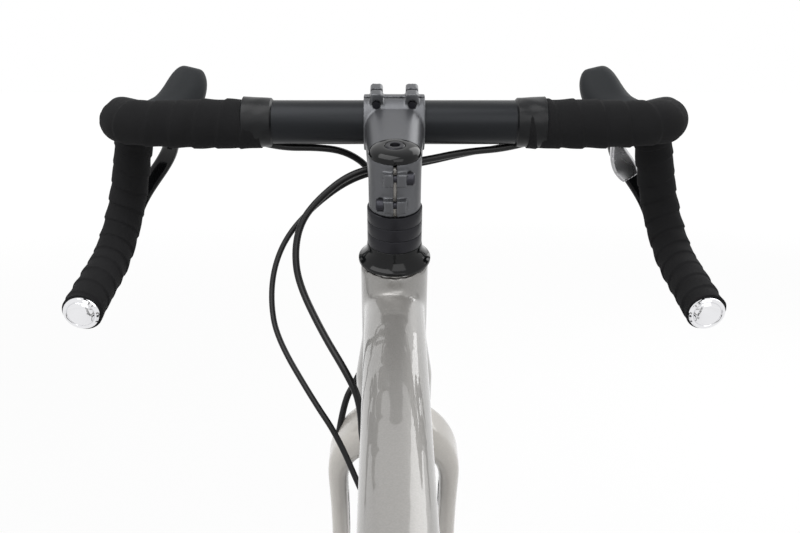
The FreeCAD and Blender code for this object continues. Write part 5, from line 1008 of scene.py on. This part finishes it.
@dataclass
class Wheel:
    """One wheel with its tyre, rim, spokes, hub and disc."""

    end: str
    bead: float = 0.311
    tyre_half: float = 0.020
    rim_half: float = 0.013
    rim_nose: float = 0.006
    rim_depth: float = 0.027
    rim_edge: float = 0.317
    tyre_wall: float = 0.0028
    casing_half: float = math.radians(135)
    casing_steps: int = 24
    sides: int = 144
    knob_rows: int = 104
    knob_height: float = 0.0014
    knob_length: float = 0.0105
    knob_widths: tuple[float, float] = (0.0048, 0.0056)
    knob_leans: tuple[int, ...] = (-58, -36, -13, 13, 36, 58)
    knob_taper: tuple[float, float] = (0.82, 0.8)
    edge_lean: float = 0.9
    spoke_count: int = 28
    valve_gap: int = 15

    def __post_init__(self) -> None:
        """Find the hub, and the wheel's placement with its third axis along the axle."""
        self.hub, axle = joint(f"{self.end}_wheel_spin")
        self.place = facing(self.hub, axle, Vector((1.0, 0.0, 0.0)))

    def build(self) -> None:
        """Build the tyre, the rim and the valve, and dress the rest."""
        end = self.end
        body = f"{end}_wheel"
        piece(f"{end}_knobbed_tyre", self.tyre(), TYRE_RUBBER, body, [f"{end}_tyre"])
        piece(f"{end}_hollow_rim", self.rim(), BLACK_ANODISED, body, [f"{end}_rim"])
        piece(f"{end}_valve", self.valve(), BARE_ALUMINIUM, body)
        dress(BLACK_ANODISED, f"{end}_hub")
        dress(STEEL, f"{end}_rotor")
        dress(DARK_STEEL, f"{end}_spokes", f"{end}_pad_left", f"{end}_pad_right")

    def valve(self) -> Shape:
        """Valve between two spokes, with its ring and its cap."""
        turn = math.tau * self.valve_gap / self.spoke_count
        out = Vector((math.cos(turn), 0.0, math.sin(turn)))
        rows = [(0.0, -0.003), (0.0055, -0.003), (0.0055, 0.003), (0.003, 0.003), (0.003, 0.026),
                (0.004, 0.027), (0.004, 0.035), (0.0024, 0.040), (0.0, 0.040)]
        place = facing(self.hub + out * (self.rim_edge - self.rim_depth), -out)
        return turned(rows, place, 24, 0.0003)

    def tyre(self) -> Shape:
        """Casing with rows of tread knobs."""
        middle = self.bead + self.tyre_half
        casing = self.tyre_half - self.knob_height
        rows = []
        for out, sense in ((casing, 1), (casing - self.tyre_wall, -1)):
            for i in range(self.casing_steps + 1):
                turn = sense * self.casing_half * (2 * i / self.casing_steps - 1)
                rows.append((middle + out * math.cos(turn), out * math.sin(turn)))
        bm = turned(rows, Matrix.Identity(4), self.sides, closed=True)
        for i in range(self.knob_rows):
            for column, lean in enumerate(self.knob_leans):
                self.knob(bm, math.tau * (i + 0.5 * (column % 2)) / self.knob_rows, math.radians(lean))
        bmesh.ops.transform(bm, matrix=self.place, verts=bm.verts)
        return bm

    def knob(self, bm: Shape, round_turn: float, lean: float) -> None:
        """One tread knob, wider at its foot than at its top.

        Args:
            bm: shape that takes the knob.
            round_turn: angle round the wheel.
            lean: angle across the tyre.
        """
        out = (Matrix.Rotation(round_turn, 4, "Z")
               @ Matrix.Translation((self.bead + self.tyre_half, 0.0, 0.0))
               @ Matrix.Rotation(-lean, 4, "Y")
               @ Matrix.Translation((self.tyre_half - self.knob_height, 0.0, 0.0)))
        wide = self.knob_widths[abs(lean) >= self.edge_lean]
        size = Matrix.Diagonal((2 * self.knob_height, self.knob_length, wide, 1.0))
        along, across = self.knob_taper
        back = out.inverted()
        for vert in bmesh.ops.create_cube(bm, size=1.0, matrix=out @ size)["verts"]:
            spot = back @ vert.co
            if spot.x > 0:
                vert.co = out @ Vector((spot.x, spot.y * along, spot.z * across))

    def rim(self) -> Shape:
        """Hooked rim with rounded shoulders."""
        inner = self.rim_edge - self.rim_depth
        shoulder = inner + 0.4 * self.rim_depth
        hook = self.rim_half - 0.002
        bed = self.bead - 0.002
        half = [(inner, self.rim_nose * 0.6), (inner + 0.002, self.rim_nose), (shoulder, self.rim_half),
                (self.rim_edge, self.rim_half), (self.rim_edge, hook), (bed, hook)]
        rows = half + [(radius, -side) for radius, side in reversed(half)]
        return turned(rows, self.place, self.sides, 0.0006, closed=True)


@dataclass
class DriveTrain:
    """Cranks, chain, cassette and derailleur."""

    pitch: float = 0.0127
    plate_height: float = 0.0080
    waist_height: float = 0.0052
    plate_thickness: float = 0.0010
    inner_half: float = 0.0016
    outer_half: float = 0.0027
    roller_radius: float = 0.0037
    pin_radius: float = 0.0019
    pin_over: float = 0.0009
    ring_teeth: int = 40
    cog_teeth: int = 21
    jockey_teeth: int = 12
    chain_links: int = 110
    crank_cell: float = 0.0011
    link_cell: float = 0.0008

    def build(self) -> None:
        """Build the chain and dress the rest."""
        self.build_chain()
        dress(STEEL, "cassette")
        dress(DARK_STEEL, "chainring")
        dress(BLACK_NYLON, "upper_jockey_wheel", "lower_jockey_wheel")
        for name, node, cell, body in (
                ("crank_arms", "crankset", self.crank_cell, "crank"),
                ("rear_derailleur_body", "rear_derailleur", self.link_cell, "frame"),
                ("derailleur_linkage_body", "derailleur_linkage", self.link_cell, "link"),
                ("derailleur_cage_body", "derailleur_cage", self.link_cell, "cage"),
                ("pedal_platform_left", "pedal_left", self.crank_cell, "left_pedal"),
                ("pedal_platform_right", "pedal_right", self.crank_cell, "right_pedal")):
            cover(name, [node], cell, 4, BLACK_ANODISED, body)

    def wheels(self) -> list[tuple[Vector, int, int]]:
        """Centre, teeth and sense of each wheel that the chain runs round."""
        names = (("crank_spin", self.ring_teeth, 1), ("cassette_spin", self.cog_teeth, 1),
                 ("upper_jockey_spin", self.jockey_teeth, -1),
                 ("lower_jockey_spin", self.jockey_teeth, 1))
        return [(joint(name)[0], teeth, sense) for name, teeth, sense in names]

    def rollers(self) -> list[Vector]:
        """Places of the chain's rollers, one pitch apart."""
        wheels = self.wheels()
        radii = [self.pitch / (2 * math.sin(math.pi / teeth)) for _, teeth, _ in wheels]
        count = len(wheels)
        runs = []
        for i, (centre, _, sense) in enumerate(wheels):
            other, _, other_sense = wheels[(i + 1) % count]
            gap = other - centre
            lift = other_sense * radii[(i + 1) % count] - sense * radii[i]
            run = math.sqrt(gap.x ** 2 + gap.z ** 2 - lift ** 2)
            turn = math.atan2(gap.z, gap.x) - math.atan2(lift, run)
            out = Vector((math.sin(turn), 0.0, -math.cos(turn)))
            runs.append((turn, centre + out * sense * radii[i],
                         other + out * other_sense * radii[(i + 1) % count]))
        places = []
        gone = 0.0

        def lay(length: float, at: Callable[[float], Vector]) -> float:
            while len(places) <= gone + length and len(places) < self.chain_links:
                places.append(at((len(places) - gone) / length))
            return gone + length

        for i, (turn, start, end) in enumerate(runs):
            follow = (i + 1) % count
            centre, teeth, sense = wheels[follow]
            radius = radii[follow]
            wrap = sense * (((runs[follow][0] - turn) * sense) % math.tau)
            first = math.atan2(end.z - centre.z, end.x - centre.x)

            def bend(share: float) -> Vector:
                at = first + wrap * share
                return centre + Vector((radius * math.cos(at), 0.0, radius * math.sin(at)))

            flat = Vector((end.x - start.x, end.z - start.z))
            gone = lay(flat.length / self.pitch, lambda share: start.lerp(end, share))
            gone = lay(abs(wrap) * teeth / math.tau, bend)
        side = joint("upper_jockey_spin")[0].y
        return [Vector((p.x, side, p.z)) for p in places]

    def plate(self) -> Mesh:
        """Waisted side plate of one link, lying along the first axis."""
        bm = bmesh.new()
        half = self.plate_height / 2
        outline = []
        for end in (1, -1):
            for i in range(7):
                turn = math.radians(-75 + 25 * i)
                out = self.pitch / 2 + half * math.cos(turn)
                outline.append((end * out, end * half * math.sin(turn)))
            outline.append((0.0, end * self.waist_height / 2))
        face = bm.faces.new([bm.verts.new((x, 0.0, z)) for x, z in outline])
        grown = bmesh.ops.extrude_face_region(bm, geom=[face])["geom"]
        fresh = [g for g in grown if isinstance(g, bmesh.types.BMVert)]
        bmesh.ops.translate(bm, verts=fresh, vec=(0.0, self.plate_thickness, 0.0))
        bmesh.ops.recalc_face_normals(bm, faces=bm.faces)
        return mesh_of(bm, "plate")

    def build_chain(self) -> None:
        """Chain of inner and outer links in turn, with a roller and a pin at each pitch."""
        places = self.rollers()
        plate = self.plate()
        upright = Matrix.Rotation(math.pi / 2, 4, "X")
        bm = bmesh.new()
        for i, place in enumerate(places):
            after = places[(i + 1) % len(places)]
            half = self.outer_half if i % 2 else self.inner_half
            lie = facing((place + after) / 2, ACROSS, after - place)
            for side in (-half, half):
                low = Matrix.Translation((0.0, 0.0, side - self.plate_thickness / 2))
                laid = plate.copy()
                laid.transform(lie @ low @ upright)
                bm.from_mesh(laid)
                bpy.data.meshes.remove(laid)
            for radius, wide in ((self.roller_radius, self.inner_half),
                                 (self.pin_radius, self.outer_half + self.pin_over)):
                bmesh.ops.create_cone(bm, cap_ends=True, segments=12, radius1=radius, radius2=radius,
                                      depth=2 * wide, matrix=Matrix.Translation(place) @ upright)
        bpy.data.meshes.remove(plate)
        piece("linked_chain", bm, STEEL, "frame", ["chain"])


@dataclass
class Seat:
    """Saddle on its rails, clamp and post."""

    pad_cell: float = 0.0022
    base_cell: float = 0.0014

    def build(self) -> None:
        """Build the saddle and dress the rest."""
        pad = cover("saddle_cushion", ["saddle_pad"], self.pad_cell, 14, SADDLE_COVER,
                    "seat")
        cover("saddle_base", ["saddle_shell"], self.base_cell, 4, BLACK_NYLON, "seat")
        dress(STEEL, "saddle_rails")
        dress(BLACK_ANODISED, "seatpost", "seatpost_collar", "saddle_clamp")


@dataclass
class Brakes:
    """Disc calipers at both ends."""

    cell: float = 0.0008

    def build(self) -> None:
        """Build both calipers."""
        for end, body in (("front", "steering"), ("rear", "frame")):
            cover(f"{end}_disc_caliper", [f"{end}_brake_caliper"], self.cell, 4, BLACK_ANODISED,
                  body)


@dataclass
class Studio:
    """Pale floor, soft light and the camera behind the bar."""

    eye: Spot = (-0.2907, 0.0045, 0.9641)
    pitch: float = math.radians(13.03)
    focal_pixels: float = 873.8
    image_width: float = 800.0
    centre_pixel: float = 388.0
    sensor: float = 36.0
    aim: Spot = (0.3, 0.0, 0.7)
    floor_half: float = 30.0
    lamp_reach: tuple[float, float] = (1.5, 6.0)
    floor_glow: tuple[float, float] = (1.0, 1.18)
    glow_share: float = 0.76
    calm_light: float = 0.55

    def build(self) -> None:
        """Build the floor, lights, world and camera."""
        self.build_floor()
        self.build_world()
        self.lamp("key_softbox", (-0.6, 0.9, 3.0), 2.4, 55.0)
        self.lamp("fill_softbox", (1.8, -1.6, 2.4), 2.0, 26.0)
        self.lamp("rear_softbox", (-2.2, -0.6, 2.0), 1.8, 18.0)
        self.build_camera()
        bpy.context.scene.view_settings.view_transform = "Standard"

    def blank(self, owner: Material | bpy.types.World) -> NodeTree:
        """Empty node tree of a material or world."""
        owner.use_nodes = True
        owner.node_tree.nodes.clear()
        return owner.node_tree

    def seen(self, tree: NodeTree) -> NodeSocket:
        """Share of light paths that see the backdrop: camera, glossy and transmission rays.

        Args:
            tree: tree that takes the nodes.

        Returns:
            Output that is one on those rays and zero on the rest.
        """
        path = add(tree, "LightPath").outputs
        share = path["Is Camera Ray"]
        for ray in ("Is Glossy Ray", "Is Transmission Ray"):
            share = add(tree, "Math", {"operation": "MAXIMUM"}, {0: share, 1: path[ray]}).outputs[0]
        return share

    def build_floor(self) -> None:
        """Wide pale floor that takes a faint shadow."""
        bm = bmesh.new()
        bmesh.ops.create_grid(bm, x_segments=1, y_segments=1, size=self.floor_half)
        mesh = mesh_of(bm, "studio_floor")
        made = bpy.data.materials.new("pale_floor")
        tree = self.blank(made)
        matt = add(tree, "BsdfDiffuse", {"Color": linear("#f2f2f2")}).outputs[0]
        # The lamps reach a few metres, and farther out the floor glows a little more to stay as pale.
        spot = add(tree, "TexCoord").outputs["Object"]
        away = add(tree, "VectorMath", {"operation": "LENGTH"}, {0: spot}).outputs["Value"]
        near, far = self.lamp_reach
        low, high = self.floor_glow
        glow = add(tree, "MapRange", {"From Min": near, "From Max": far, "To Min": low, "To Max": high},
                   {"Value": away}).outputs[0]
        white = add(tree, "Emission", links={"Strength": glow}).outputs[0]
        share = add(tree, "Math", {"operation": "MULTIPLY", 1: self.glow_share},
                    {0: self.seen(tree)}).outputs[0]
        both = add(tree, "MixShader", links={0: share, 1: matt, 2: white}).outputs[0]
        add(tree, "OutputMaterial", links={"Surface": both})
        mesh.materials.append(made)
        floor = put("studio_floor", mesh)

    def build_world(self) -> None:
        """White surround for the eye and for reflections, and a calmer one for light."""
        world = bpy.data.worlds.new("studio_world")
        tree = self.blank(world)
        calm, white = (add(tree, "Background", {"Color": linear("#ffffff"), "Strength": level}).outputs[0]
                       for level in (self.calm_light, 1.0))
        both = add(tree, "MixShader", links={0: self.seen(tree), 1: calm, 2: white}).outputs[0]
        add(tree, "OutputWorld", links={"Surface": both})
        bpy.context.scene.world = world

    def point(self, item: Object, place: Vector, look: Vector) -> None:
        """Stand a lamp or camera at a place, looking along a direction."""
        item.location = place
        item.rotation_euler = look.to_track_quat("-Z", "Y").to_euler()

    def lamp(self, name: str, place: Spot, side: float, power: float) -> None:
        """Square softbox aimed at the bar.

        Args:
            name: name of the lamp.
            place: where it stands.
            side: length of its side.
            power: its power in watts.
        """
        data = bpy.data.lights.new(name, "AREA")
        data.size = side
        data.energy = power
        self.point(put(name, data), Vector(place), Vector(self.aim) - Vector(place))

    def build_camera(self) -> None:
        """Camera above the saddle, looking down on the bar."""
        data = bpy.data.cameras.new("rider_view")
        data.sensor_width = self.sensor
        data.lens = data.sensor_width * self.focal_pixels / self.image_width
        data.shift_x = (self.image_width / 2 - self.centre_pixel) / self.image_width
        item = put("rider_view", data)
        self.point(item, Vector(self.eye), Vector((math.cos(self.pitch), 0.0, -math.sin(self.pitch))))
        bpy.context.scene.camera = item


def main() -> None:
    """Build the sub-assemblies in order."""
    logging.basicConfig(level=logging.INFO, format="%(message)s")
    axis = SteeringAxis()
    Studio().build()
    CableLoops(axis).build()
    Cockpit(axis).build()
    DropBar().build()
    ControlLevers().build()
    FrameSet().build()
    Wheel("front").build()
    Wheel("rear").build()
    Brakes().build()
    DriveTrain().build()
    Seat().build()


if __name__ == "__main__":
    main()
